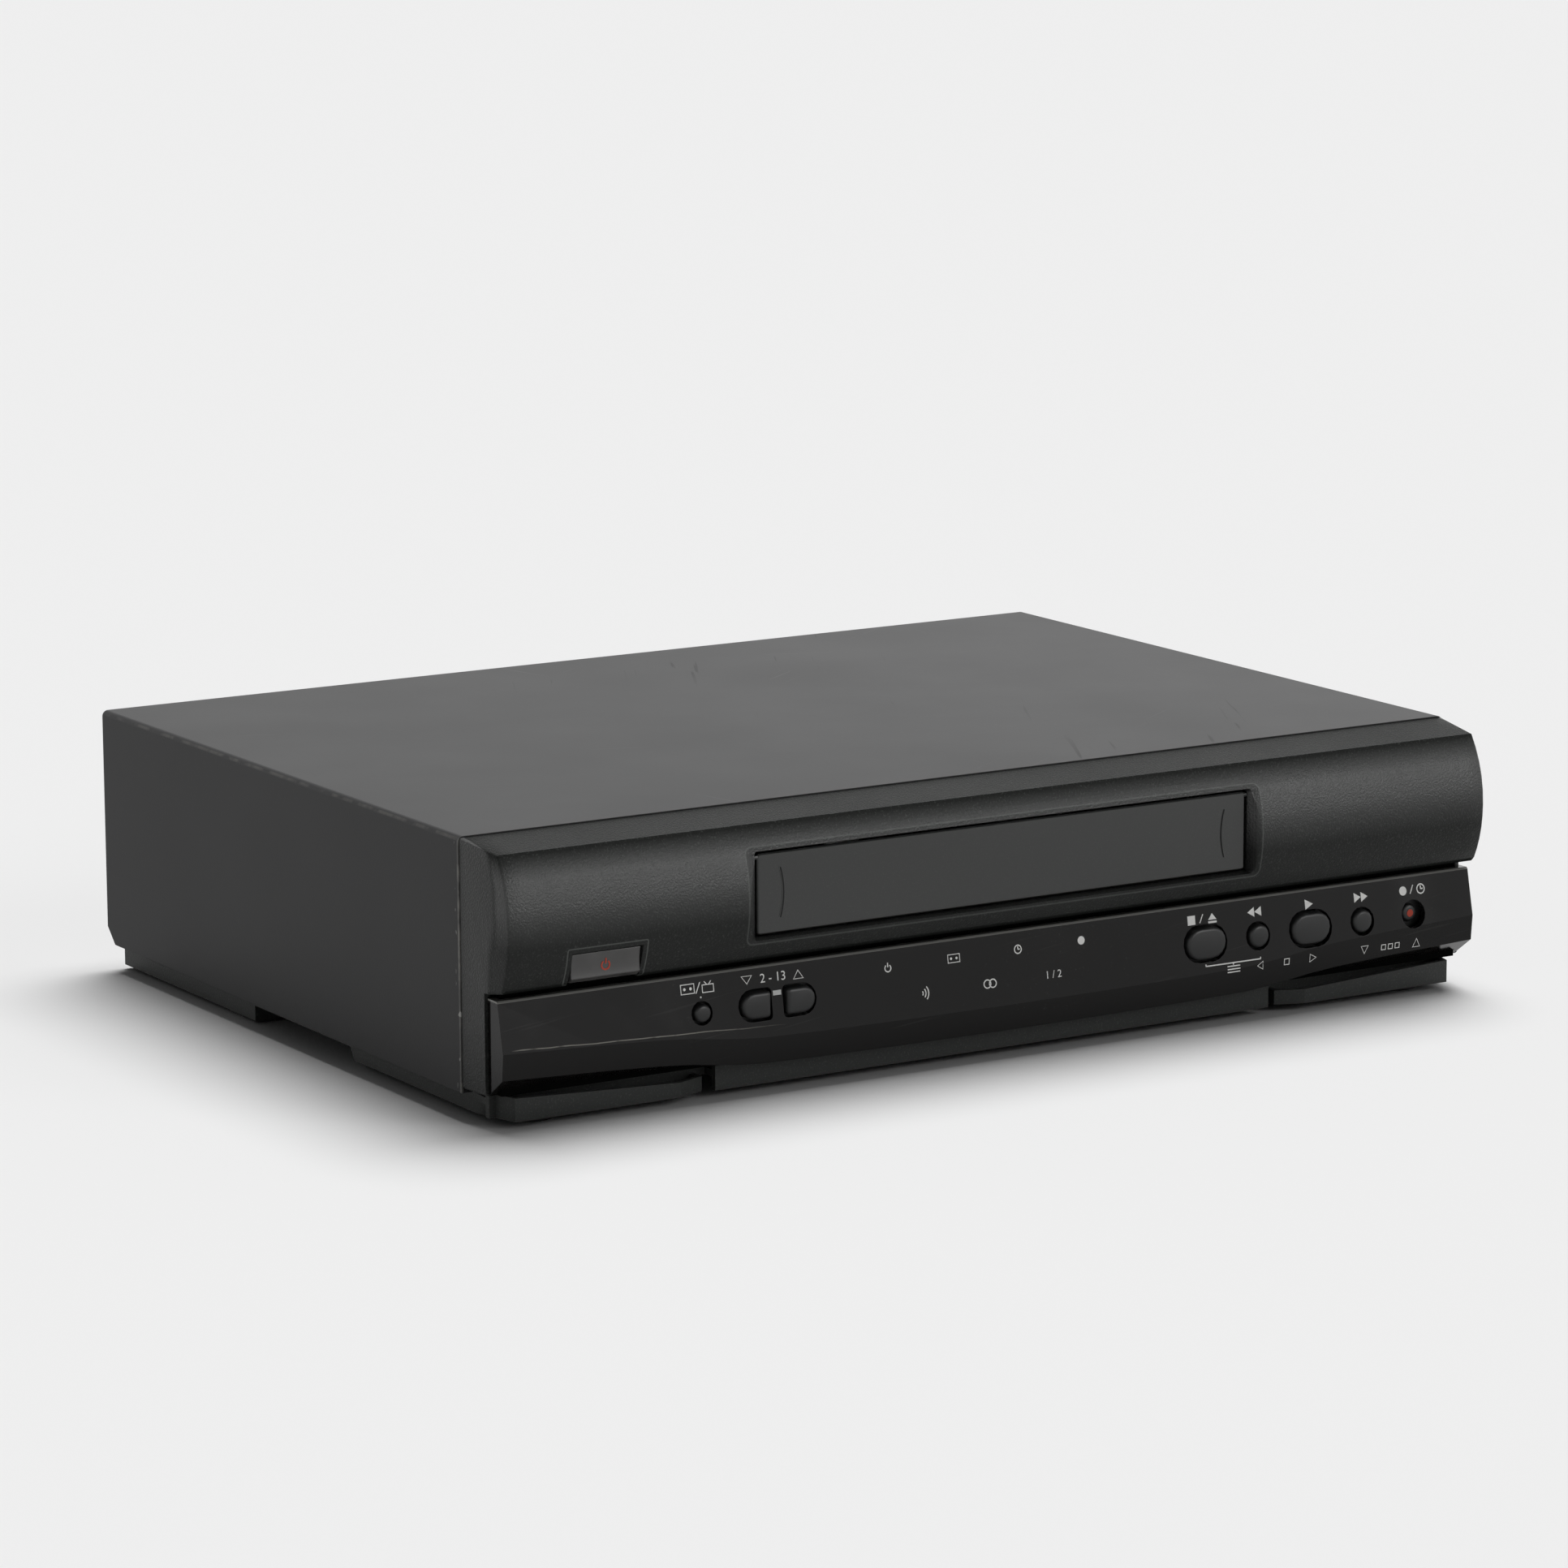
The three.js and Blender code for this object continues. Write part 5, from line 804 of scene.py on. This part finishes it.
STROKE = 0.42
STROKE_SHARE = 1 / 8
OPEN_RING = (125, 415)
WAVE_SWEEP = (-42, 42)
CAP_HEIGHT_SHARE = 0.7


def flat_face(mesh, points, stroke=None):
    """A face that looks to the front, or with a stroke only its rim."""
    corners = [mesh.verts.new((x * MM, 0, z * MM)) for x, z in points]
    face = mesh.faces.new(corners)
    face.normal_update()
    if face.normal.y > 0:
        face.normal_flip()
    if stroke:
        bmesh.ops.inset_individual(mesh, faces=[face], thickness=stroke * MM)
        bmesh.ops.delete(mesh, geom=[face], context="FACES_ONLY")


def extent(x, z, width, height):
    """The left, foot, right and top of a shape that is centred on a point."""
    return x - width / 2, z - height / 2, x + width / 2, z + height / 2


def bar(mesh, x, z, width, height, stroke=None):
    left, foot, right, top = extent(x, z, width, height)
    flat_face(mesh, [(left, foot), (right, foot), (right, top), (left, top)], stroke)


def leaning_bar(mesh, foot, tip, stroke):
    """A bar with level ends, from one point up to another."""
    (x0, z0), (x1, z1) = foot, tip
    half = stroke / 2
    flat_face(mesh, [(x0 - half, z0), (x0 + half, z0), (x1 + half, z1), (x1 - half, z1)])


def slash(mesh, x, z, height, stroke):
    left, foot, right, top = extent(x, z, height / 2, height)
    leaning_bar(mesh, (left, foot), (right, top), stroke)


def triangle(mesh, x, z, width, height, towards, stroke=None):
    """A triangle that points up, down, left or right."""
    left, foot, right, top = extent(x, z, width, height)
    corners = {
        "up": [(left, foot), (right, foot), (x, top)],
        "down": [(left, top), (x, foot), (right, top)],
        "right": [(left, foot), (right, z), (left, top)],
        "left": [(right, foot), (right, top), (left, z)],
    }
    flat_face(mesh, corners[towards], stroke)


def around(x, z, radius, angle):
    """The point at an angle on a circle."""
    return x + radius * math.cos(angle), z + radius * math.sin(angle)


def arc(mesh, x, z, radius, stroke, start=0.0, end=360.0):
    """A ring, or part of one, from one angle to another in degrees."""
    turn = (end - start) / ARC_STEPS
    angles = [math.radians(start + turn * i) for i in range(ARC_STEPS + 1)]
    inner = radius - stroke
    for first, second in zip(angles, angles[1:]):
        flat_face(mesh, [
            around(x, z, inner, first), around(x, z, radius, first),
            around(x, z, radius, second), around(x, z, inner, second),
        ])


def dot(mesh, x, z, radius):
    turn = 2 * math.pi / ARC_STEPS
    flat_face(mesh, [around(x, z, radius, turn * i) for i in range(ARC_STEPS)])


def power_sign(mesh, x, z, size):
    stroke = size * STROKE_SHARE
    ring_share, bar_share, rise_share = 0.42, 0.46, 0.27
    arc(mesh, x, z - stroke / 2, size * ring_share, stroke, *OPEN_RING)
    bar(mesh, x, z + size * rise_share, stroke, size * bar_share)


def tape_sign(mesh, x, z, width, height):
    """A cassette with its two reels."""
    reel_place_share, reel_share = 0.22, 0.15
    bar(mesh, x, z, width, height, height * STROKE_SHARE)
    for side in (-1, 1):
        dot(mesh, x + side * width * reel_place_share, z, height * reel_share)


def screen_sign(mesh, x, z, width, height):
    """A screen with two aerials."""
    stroke = height * STROKE_SHARE
    drop_share, screen_share, spread_share = 0.1, 0.8, 0.28
    foot_share, tip_share = 0.3, 0.58
    bar(mesh, x, z - height * drop_share, width, height * screen_share, stroke)
    for side in (-1, 1):
        foot = (x + side * stroke, z + height * foot_share)
        tip = (x + side * width * spread_share, z + height * tip_share)
        leaning_bar(mesh, foot, tip, stroke)


def clock_sign(mesh, x, z, size):
    stroke = size * STROKE_SHARE
    long_hand_share, short_hand_share, short_place_share = 0.3, 0.26, 0.12
    arc(mesh, x, z, size / 2, stroke)
    bar(mesh, x, z + size * long_hand_share / 2, stroke, size * long_hand_share)
    bar(mesh, x + size * short_place_share, z, size * short_hand_share, stroke)


def eject_sign(mesh, x, z, size):
    rise_share, roof_share, drop_share, bar_share = 0.14, 0.62, 0.4, 0.2
    triangle(mesh, x, z + size * rise_share, size, size * roof_share, "up")
    bar(mesh, x, z - size * drop_share, size, size * bar_share)


def sound_sign(mesh, x, z, radius, pitch):
    """Three waves."""
    for i in range(3):
        arc(mesh, x, z, radius + i * pitch, STROKE, *WAVE_SWEEP)


def stereo_sign(mesh, x, z, radius, half_pitch):
    """Two rings that overlap."""
    for side in (-1, 1):
        arc(mesh, x + side * half_pitch, z, radius, STROKE)


def list_sign(mesh, x, z, width, pitch):
    """Three lines over each other."""
    for i in (-1, 0, 1):
        bar(mesh, x, z + i * pitch, width, STROKE)


def squares_sign(mesh, x, z, size, pitch):
    """Three squares in a row."""
    for i in (-1, 0, 1):
        bar(mesh, x + i * pitch, z, size, size, STROKE)


def bracket_sign(mesh, x, z, width, tick, rise):
    """A line with ticks up at its ends and one down at its middle."""
    bar(mesh, x, z, width, STROKE)
    for side in (-1, 0, 1):
        bar(mesh, x + side * width / 2, z + (rise if side else -rise), STROKE, tick)


def digits(mesh, x, z, height, words):
    """Plain numerals, centred on a point."""
    curve = bpy.data.curves.new("digits", "FONT")
    curve.body = words
    curve.size = height * MM / CAP_HEIGHT_SHARE
    curve.align_x = "CENTER"
    curve.align_y = "CENTER"
    holder = linked("digits", curve)
    bpy.context.view_layer.update()
    evaluated = holder.evaluated_get(bpy.context.evaluated_depsgraph_get())
    data = evaluated.to_mesh()
    data.transform(Matrix.Translation((x * MM, 0, z * MM)) @ Matrix.Rotation(math.pi / 2, 4, "X"))
    mesh.from_mesh(data)
    evaluated.to_mesh_clear()
    bpy.data.objects.remove(holder)
    bpy.data.curves.remove(curve)


def lay_on(mesh, node):
    """Moves flat symbols back onto the front of a CAD node."""
    copy = bmesh.new()
    copy.from_mesh(frame["nodes"][node].data)
    surface = BVHTree.FromBMesh(copy)
    copy.free()
    for vert in mesh.verts:
        place = Vector((vert.co.x, CAD_LOW.y - RAY_START, above(0) + vert.co.z))
        hit = surface.ray_cast(place, Vector((0, 1, 0)))[0]
        if hit is None:
            raise ValueError("a symbol lies off its surface at %.1f, %.1f mm" % (
                vert.co.x / MM, vert.co.z / MM,
            ))
        vert.co = Vector((place.x, hit.y - LIFT, place.z))


# Pieces

# Buttons: how far right of the middle, in millimetres
LEFT_BUTTONS = {
    "tv_vcr_button": -121.4,
    "channel_down_button": -100.8,
    "channel_up_button": -83.4,
}
RIGHT_BUTTONS = {
    "stop_eject_button": 81.7,
    "rewind_button": 104.1,
    "play_button": 126.5,
    "fast_forward_button": 148.9,
    "record_button": 171.3,
}
KEY_X = -159.9

# Rows of symbols and marks above the cover's lower edge, and marks' sizes, in millimetres
RIGHT_ROW = 20.5
SIGN_ROW = 29
INDICATOR_ROW = 27.6
SOUND_ROW = 17.4
RULE_ROW = 12.6
LOWER_ROW = 10.2
INSERT_ROW = 24.6
INSERT_SIZE = (3.2, 1.6)
KEY_MARK_ROW = 43.4
KEY_MARK_SIZE = 4.2
RECORD_MARK_RADIUS = 1.35

# The flap's scored lines and the painted highlight lines beside them, in millimetres from its middle
SCORE_PLACE = 88.5
SCORE_STROKE = 0.42
LIP_PLACE = 88.95
LIP_STROKE = 0.28
SCORE_HEIGHT = 17
SCORE_BOW = 1.3

# Each button's symbols: what, how far right of the button's middle, height, sizes
BUTTON_SYMBOLS = {
    "tv_vcr_button": (
        (tape_sign, -4.8, 29.8, 5.4, 3.4),
        (slash, -0.8, 29.8, 3.6, STROKE),
        (screen_sign, 3, 29.6, 4.6, 3.5),
        (dot, 0, 26.6, 0.3),
    ),
    "channel_down_button": (
        (triangle, -2.6, 30, 4.4, 2.9, "down", STROKE),
        (digits, 7.6, 29.8, 3, "2 - 13"),
    ),
    "channel_up_button": ((triangle, 0, 29.7, 4.2, 3.1, "up", STROKE),),
    "stop_eject_button": (
        (bar, -5.3, SIGN_ROW, 3.2, 3.2),
        (slash, -1.1, 29.2, 3, STROKE),
        (eject_sign, 3.5, SIGN_ROW, 3.6),
    ),
    "rewind_button": (
        (triangle, -2.5, SIGN_ROW, 2.9, 3.4, "left"),
        (triangle, 0.5, SIGN_ROW, 2.9, 3.4, "left"),
    ),
    "play_button": ((triangle, 0.1, SIGN_ROW, 3.4, 3.6, "right"),),
    "fast_forward_button": (
        (triangle, -1.3, SIGN_ROW, 2.9, 3.4, "right"),
        (triangle, 1.7, SIGN_ROW, 2.9, 3.4, "right"),
    ),
    "record_button": (
        (dot, -3.7, SIGN_ROW, 1.6),
        (slash, 0.1, 29.2, 3, STROKE),
        (clock_sign, 4.1, SIGN_ROW, 3.7),
    ),
}

# The other symbols: what, how far right of the recorder's middle, height, sizes
INDICATOR_SYMBOLS = (
    (power_sign, -48.2, INDICATOR_ROW, 3.3),
    (tape_sign, -21.8, INDICATOR_ROW, 5, 3),
    (clock_sign, 4.2, INDICATOR_ROW, 3.2),
    (dot, 30.2, INDICATOR_ROW, 1.45),
    (sound_sign, -36, SOUND_ROW, 1.2, 1.1),
    (stereo_sign, -8, SOUND_ROW, 1.6, 1.1),
    (digits, 17.9, SOUND_ROW, 2.6, "1 / 2"),
)
LOWER_SYMBOLS = (
    (bracket_sign, 92.7, RULE_ROW, 23.2, 0.8, 0.3),
    (list_sign, 92.8, 10.4, 5.4, 1.05),
    (triangle, 104, LOWER_ROW, 2.7, 3.2, "left", STROKE),
    (bar, 115.5, LOWER_ROW, 2.4, 2.4, STROKE),
    (triangle, 127, LOWER_ROW, 3, 3.2, "right", STROKE),
    (triangle, 149.5, LOWER_ROW, 3.5, 3.1, "down", STROKE),
    (squares_sign, 160.9, LOWER_ROW, 2.1, 3),
    (triangle, 172.4, LOWER_ROW, 3.5, 3.3, "up", STROKE),
)


def make_cover():
    dress("top_cover", "cover_shell", "cover", looks().sheet_edge)


def make_front():
    edge = looks().moulded_edge
    dress("front_bezel", "front_moulding", "front", edge, sliced=True)
    dress("control_panel", "gloss_panel", "panel", edge, smooth=PANEL_SMOOTH_ANGLE, sliced=True)


def make_door():
    dress("cassette_door", "cassette_flap", "door", looks().moulded_edge)
    score_lines("door_score_lines", "score", SCORE_PLACE, SCORE_STROKE)
    # The lines beside the scores are a painted highlight on their lips.
    score_lines("door_score_highlights", "score_highlight", LIP_PLACE, LIP_STROKE)


def score_lines(name, finish, place, stroke):
    """A bowed upright line near each end of the flap."""
    mesh = bmesh.new()
    middle_x = (DOOR_LOW.x + DOOR_HIGH.x) / 2 / MM
    middle_z = ((DOOR_LOW.z + DOOR_HIGH.z) / 2 - above(0)) / MM
    shares = [step / BOW_STEPS * 2 - 1 for step in range(BOW_STEPS + 1)]
    for side in (-1, 1):
        points = [
            (middle_x + side * (place + SCORE_BOW * share**2), middle_z + share * SCORE_HEIGHT / 2)
            for share in shares
        ]
        for foot, tip in zip(points, points[1:]):
            leaning_bar(mesh, foot, tip, stroke)
    add_mark(name, mesh, finish, "cassette_door")


def add_mark(name, mesh, finish, node):
    """Lays flat symbols on a CAD node and lets them ride with it."""
    lay_on(mesh, node)
    add_piece(name, mesh, finish, node)


def make_buttons():
    for node in (*LEFT_BUTTONS, *RIGHT_BUTTONS):
        dress(node, node.replace("_button", "_cap"), "button")
    dress("power_button", "power_key", "key", looks().moulded_edge)
    record_mark = bmesh.new()
    dot(record_mark, RIGHT_BUTTONS["record_button"], RIGHT_ROW, RECORD_MARK_RADIUS)
    add_mark("record_mark", record_mark, "red_mark", "record_button")
    power_mark = bmesh.new()
    power_sign(power_mark, KEY_X, KEY_MARK_ROW, KEY_MARK_SIZE)
    add_mark("power_mark", power_mark, "red_mark", "power_button")


def make_legends():
    mesh = bmesh.new()
    buttons = {**LEFT_BUTTONS, **RIGHT_BUTTONS}
    for button, symbols in BUTTON_SYMBOLS.items():
        for draw, offset, *sizes in symbols:
            draw(mesh, buttons[button] + offset, *sizes)
    for draw, *places in (*INDICATOR_SYMBOLS, *LOWER_SYMBOLS):
        draw(mesh, *places)
    add_mark("panel_symbols", mesh, "legend", "control_panel")
    insert = bmesh.new()
    middle = (LEFT_BUTTONS["channel_down_button"] + LEFT_BUTTONS["channel_up_button"]) / 2
    bar(insert, middle, INSERT_ROW, *INSERT_SIZE)
    add_mark("channel_insert", insert, "glow", "control_panel")


def make_base():
    dress("base_frame", "moulded_base", "base", looks().moulded_edge)
    for place in ("front_left", "front_right", "rear_left", "rear_right"):
        dress("foot_pad_" + place, "pad_" + place, "pad", looks().sheet_edge)
    dress("bottom_plate", "bottom_sheet", "steel")


def socket_finish(centre):
    """The outer ends of the sockets are coloured by column: picture, left and right sound."""
    low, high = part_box("jack_block")
    if centre.y < high.y - SOCKET_RING:
        return 0
    middle = (low.x + high.x) / 2
    return 2 + round((centre.x - middle) / SOCKET_PITCH)


def make_rear():
    dress("rear_panel", "rear_sheet", "rear")
    dress("cord_gland", "rubber_gland", "pad")
    rings = ("yellow_ring", "white_ring", "red_ring")
    dress("jack_block", "socket_block", "black", others=rings, choose=socket_finish)
    dress("tuner_box", "tuner_can", "steel")


# Boards: how far the front one reaches, and the thickness of the flat ones
FRONT_BOARD_REACH = 9.05
BOARD_SHEET = 1.65 * MM


def on_front_board(centre):
    """One for a face of the parts on the upright board, nought for the board itself."""
    return int(centre.y < front(FRONT_BOARD_REACH))


def on_flat_board(centre):
    """One for a face of the parts on a flat board, nought for the board itself."""
    return int(centre.z > BOARD_LOW.z + BOARD_SHEET)


BOARDS = (
    ("front_board", "switch_board", "green_board", "black", on_front_board),
    ("main_board", "signal_board", "green_board", "black", on_flat_board),
    ("power_supply", "supply_board", "tan_board", "steel", on_flat_board),
)


def make_boards():
    for node, name, finish, parts, choose in BOARDS:
        dress(node, name, finish, others=(parts,), choose=choose, smooth=INNER_SMOOTH_ANGLE)


DECK_FINISHES = {
    "deck_chassis": "steel",
    "lower_drum": "drum",
    "upper_drum": "drum",
    "erase_head": "bright_steel",
    "audio_head": "bright_steel",
    "capstan_flywheel": "bright_steel",
    "capstan_bearing": "bronze",
    "drive_belt": "belt",
    "centre_pulley": "white",
    "idler_arm": "steel",
    "idler_wheel": "black",
    "supply_reel_table": "white",
    "take_up_reel_table": "white",
    "tension_arm": "bright_steel",
    "pinch_arm": "steel",
    "pinch_roller": "belt",
    "guide_post_left": "bright_steel",
    "guide_post_right": "bright_steel",
    "cam_gear": "white",
    "loading_pinion": "black",
    "loading_motor": "steel",
}
BROAD_DECK_PIECES = (
    "deck_chassis", "lower_drum", "upper_drum", "supply_reel_table", "take_up_reel_table",
)
LOADER_FINISHES = {
    "loader_bracket_left": "steel",
    "loader_bracket_right": "steel",
    "loader_slider": "bright_steel",
    "cassette_holder": "bright_steel",
}


def make_deck():
    for node, finish in DECK_FINISHES.items():
        angle = INNER_SMOOTH_ANGLE if node in BROAD_DECK_PIECES else SMOOTH_ANGLE
        dress(node, node + "_dressed", finish, smooth=angle)


def make_loader():
    for node, finish in LOADER_FINISHES.items():
        dress(node, node + "_dressed", finish)


# Stage

def make_floor():
    settings = stage_settings()
    mesh = bmesh.new()
    bmesh.ops.create_grid(mesh, x_segments=1, y_segments=1, size=settings.floor_size / 2)
    data = bpy.data.meshes.new("floor")
    mesh.to_mesh(data)
    mesh.free()
    finish = Finish("floor_paper", tuple(settings.floor_colour), 0.9, specular=0.0)
    data.materials.append(finish.material)
    linked("floor", data)


def add_sun(name, strength, spread, source):
    light = bpy.data.lights.new(name, "SUN")
    light.energy = strength
    light.angle = spread
    lamp = linked(name, light)
    lamp.rotation_mode = "QUATERNION"
    lamp.rotation_quaternion = Vector(source).to_track_quat("Z", "Y")


def make_sky(settings):
    """An even light from all round. Gloss mirrors a brighter sky with a soft panel in it."""
    world = bpy.data.worlds.new("studio")
    bpy.context.scene.world = world
    world.use_nodes = True
    sky = Nodes(world.node_tree)
    direction = sky.node("ShaderNodeTexCoord").outputs["Generated"]
    heights = (LOW_SKY_SHARE, HIGH_SKY_SHARE)
    strengths = (settings.horizon_reflection, settings.ceiling_reflection)
    sky_reflection = sky.mapped(sky.axis("Z", direction), heights, strengths)
    inputs = {0: direction, 1: tuple(Vector(settings.panel_light_from).normalized())}
    nearness = sky.node("ShaderNodeVectorMath", inputs, operation="DOT_PRODUCT").outputs["Value"]
    edges = (math.cos(settings.panel_light_reach), math.cos(settings.panel_light_core))
    strengths = (0, settings.panel_light_strength)
    soft_panel = sky.mapped(nearness, edges, strengths, interpolation_type="SMOOTHSTEP")
    mirrored = sky.math("ADD", sky_reflection, soft_panel)
    glossy = sky.node("ShaderNodeLightPath").outputs["Is Glossy Ray"]
    strength = sky.mapped(glossy, result=(settings.sky_strength, mirrored))
    background = sky.tree.nodes["Background"].inputs
    background["Color"].default_value = (1, 1, 1, 1)
    sky.feed(strength, background["Strength"])


def make_lights():
    settings = stage_settings()
    make_sky(settings)
    add_sun("key_light", settings.key_strength, settings.key_spread, settings.key_from)
    add_sun("front_light", settings.front_strength, settings.front_spread, settings.front_from)


def make_camera():
    settings = stage_settings()
    yaw, pitch, roll = settings.camera_yaw, settings.camera_pitch, settings.camera_roll
    ahead = Vector((
        math.sin(yaw) * math.cos(pitch), math.cos(yaw) * math.cos(pitch), -math.sin(pitch),
    ))
    level_right = Vector((math.cos(yaw), -math.sin(yaw), 0))
    level_up = level_right.cross(ahead)
    right = level_right * math.cos(roll) + level_up * math.sin(roll)
    up = level_up * math.cos(roll) - level_right * math.sin(roll)
    lens = bpy.data.cameras.new("camera")
    lens.lens = settings.lens
    lens.sensor_width = SENSOR_WIDTH
    lens.clip_end = VIEW_END
    camera = linked("camera", lens)
    turn = Matrix((right, up, -ahead)).transposed().to_4x4()
    camera.matrix_world = Matrix.Translation(Vector(settings.camera_place)) @ turn
    bpy.context.scene.camera = camera


def make_stage():
    make_floor()
    make_lights()
    make_camera()
    bpy.context.scene.view_settings.view_transform = "Standard"


# Operators and the panel

class RECORDER_OT_cover(bpy.types.Operator):
    """Make the folded steel cover."""
    bl_idname = "recorder.cover"
    bl_label = "Cover"

    def execute(self, context):
        make_cover()
        return {"FINISHED"}


class RECORDER_OT_front(bpy.types.Operator):
    """Make the front moulding and the gloss panel under it."""
    bl_idname = "recorder.front"
    bl_label = "Front and panel"

    def execute(self, context):
        make_front()
        return {"FINISHED"}


class RECORDER_OT_door(bpy.types.Operator):
    """Make the cassette flap with its score lines."""
    bl_idname = "recorder.door"
    bl_label = "Cassette flap"

    def execute(self, context):
        make_door()
        return {"FINISHED"}


class RECORDER_OT_buttons(bpy.types.Operator):
    """Make the button caps and the power key."""
    bl_idname = "recorder.buttons"
    bl_label = "Buttons"

    def execute(self, context):
        make_buttons()
        return {"FINISHED"}


class RECORDER_OT_legends(bpy.types.Operator):
    """Print the symbols on the gloss panel."""
    bl_idname = "recorder.legends"
    bl_label = "Symbols"

    def execute(self, context):
        make_legends()
        return {"FINISHED"}


class RECORDER_OT_base(bpy.types.Operator):
    """Make the moulded base, its pads and the bottom sheet."""
    bl_idname = "recorder.base"
    bl_label = "Base and feet"

    def execute(self, context):
        make_base()
        return {"FINISHED"}


class RECORDER_OT_rear(bpy.types.Operator):
    """Make the rear panel with its sockets and gland."""
    bl_idname = "recorder.rear"
    bl_label = "Rear"

    def execute(self, context):
        make_rear()
        return {"FINISHED"}


class RECORDER_OT_boards(bpy.types.Operator):
    """Make the circuit boards."""
    bl_idname = "recorder.boards"
    bl_label = "Boards"

    def execute(self, context):
        make_boards()
        return {"FINISHED"}


class RECORDER_OT_deck(bpy.types.Operator):
    """Make the tape deck with its drum, reels and arms."""
    bl_idname = "recorder.deck"
    bl_label = "Tape deck"

    def execute(self, context):
        make_deck()
        return {"FINISHED"}


class RECORDER_OT_loader(bpy.types.Operator):
    """Make the cassette loader."""
    bl_idname = "recorder.loader"
    bl_label = "Loader"

    def execute(self, context):
        make_loader()
        return {"FINISHED"}


class RECORDER_OT_stage(bpy.types.Operator):
    """Make the floor, the lights and the camera."""
    bl_idname = "recorder.stage"
    bl_label = "Stage"

    def execute(self, context):
        make_stage()
        return {"FINISHED"}


OPERATORS = (
    RECORDER_OT_cover,
    RECORDER_OT_front,
    RECORDER_OT_door,
    RECORDER_OT_buttons,
    RECORDER_OT_legends,
    RECORDER_OT_base,
    RECORDER_OT_rear,
    RECORDER_OT_boards,
    RECORDER_OT_deck,
    RECORDER_OT_loader,
    RECORDER_OT_stage,
)


class RECORDER_PT_sidebar(bpy.types.Panel):
    """Lists the recorder's settings and pieces."""
    bl_idname = "RECORDER_PT_sidebar"
    bl_label = "Video cassette recorder"
    bl_space_type = "VIEW_3D"
    bl_region_type = "UI"
    bl_category = "Recorder"

    def draw(self, context):
        layout = self.layout
        for group in (context.scene.recorder_looks, context.scene.recorder_stage):
            box = layout.box()
            for name in group.__annotations__:
                box.prop(group, name)
        for operator in OPERATORS:
            layout.operator(operator.bl_idname)


CLASSES = (RecorderLooks, RecorderStage, *OPERATORS, RECORDER_PT_sidebar)


def register():
    for item in CLASSES:
        bpy.utils.register_class(item)
    bpy.types.Scene.recorder_looks = bpy.props.PointerProperty(type=RecorderLooks)
    bpy.types.Scene.recorder_stage = bpy.props.PointerProperty(type=RecorderStage)


def unregister():
    del bpy.types.Scene.recorder_stage
    del bpy.types.Scene.recorder_looks
    for item in reversed(CLASSES):
        bpy.utils.unregister_class(item)


def main():
    register()
    bpy.ops.recorder.cover()
    bpy.ops.recorder.front()
    bpy.ops.recorder.door()
    bpy.ops.recorder.buttons()
    bpy.ops.recorder.legends()
    bpy.ops.recorder.base()
    bpy.ops.recorder.rear()
    bpy.ops.recorder.boards()
    bpy.ops.recorder.deck()
    bpy.ops.recorder.loader()
    bpy.ops.recorder.stage()


if __name__ == "__main__":
    main()
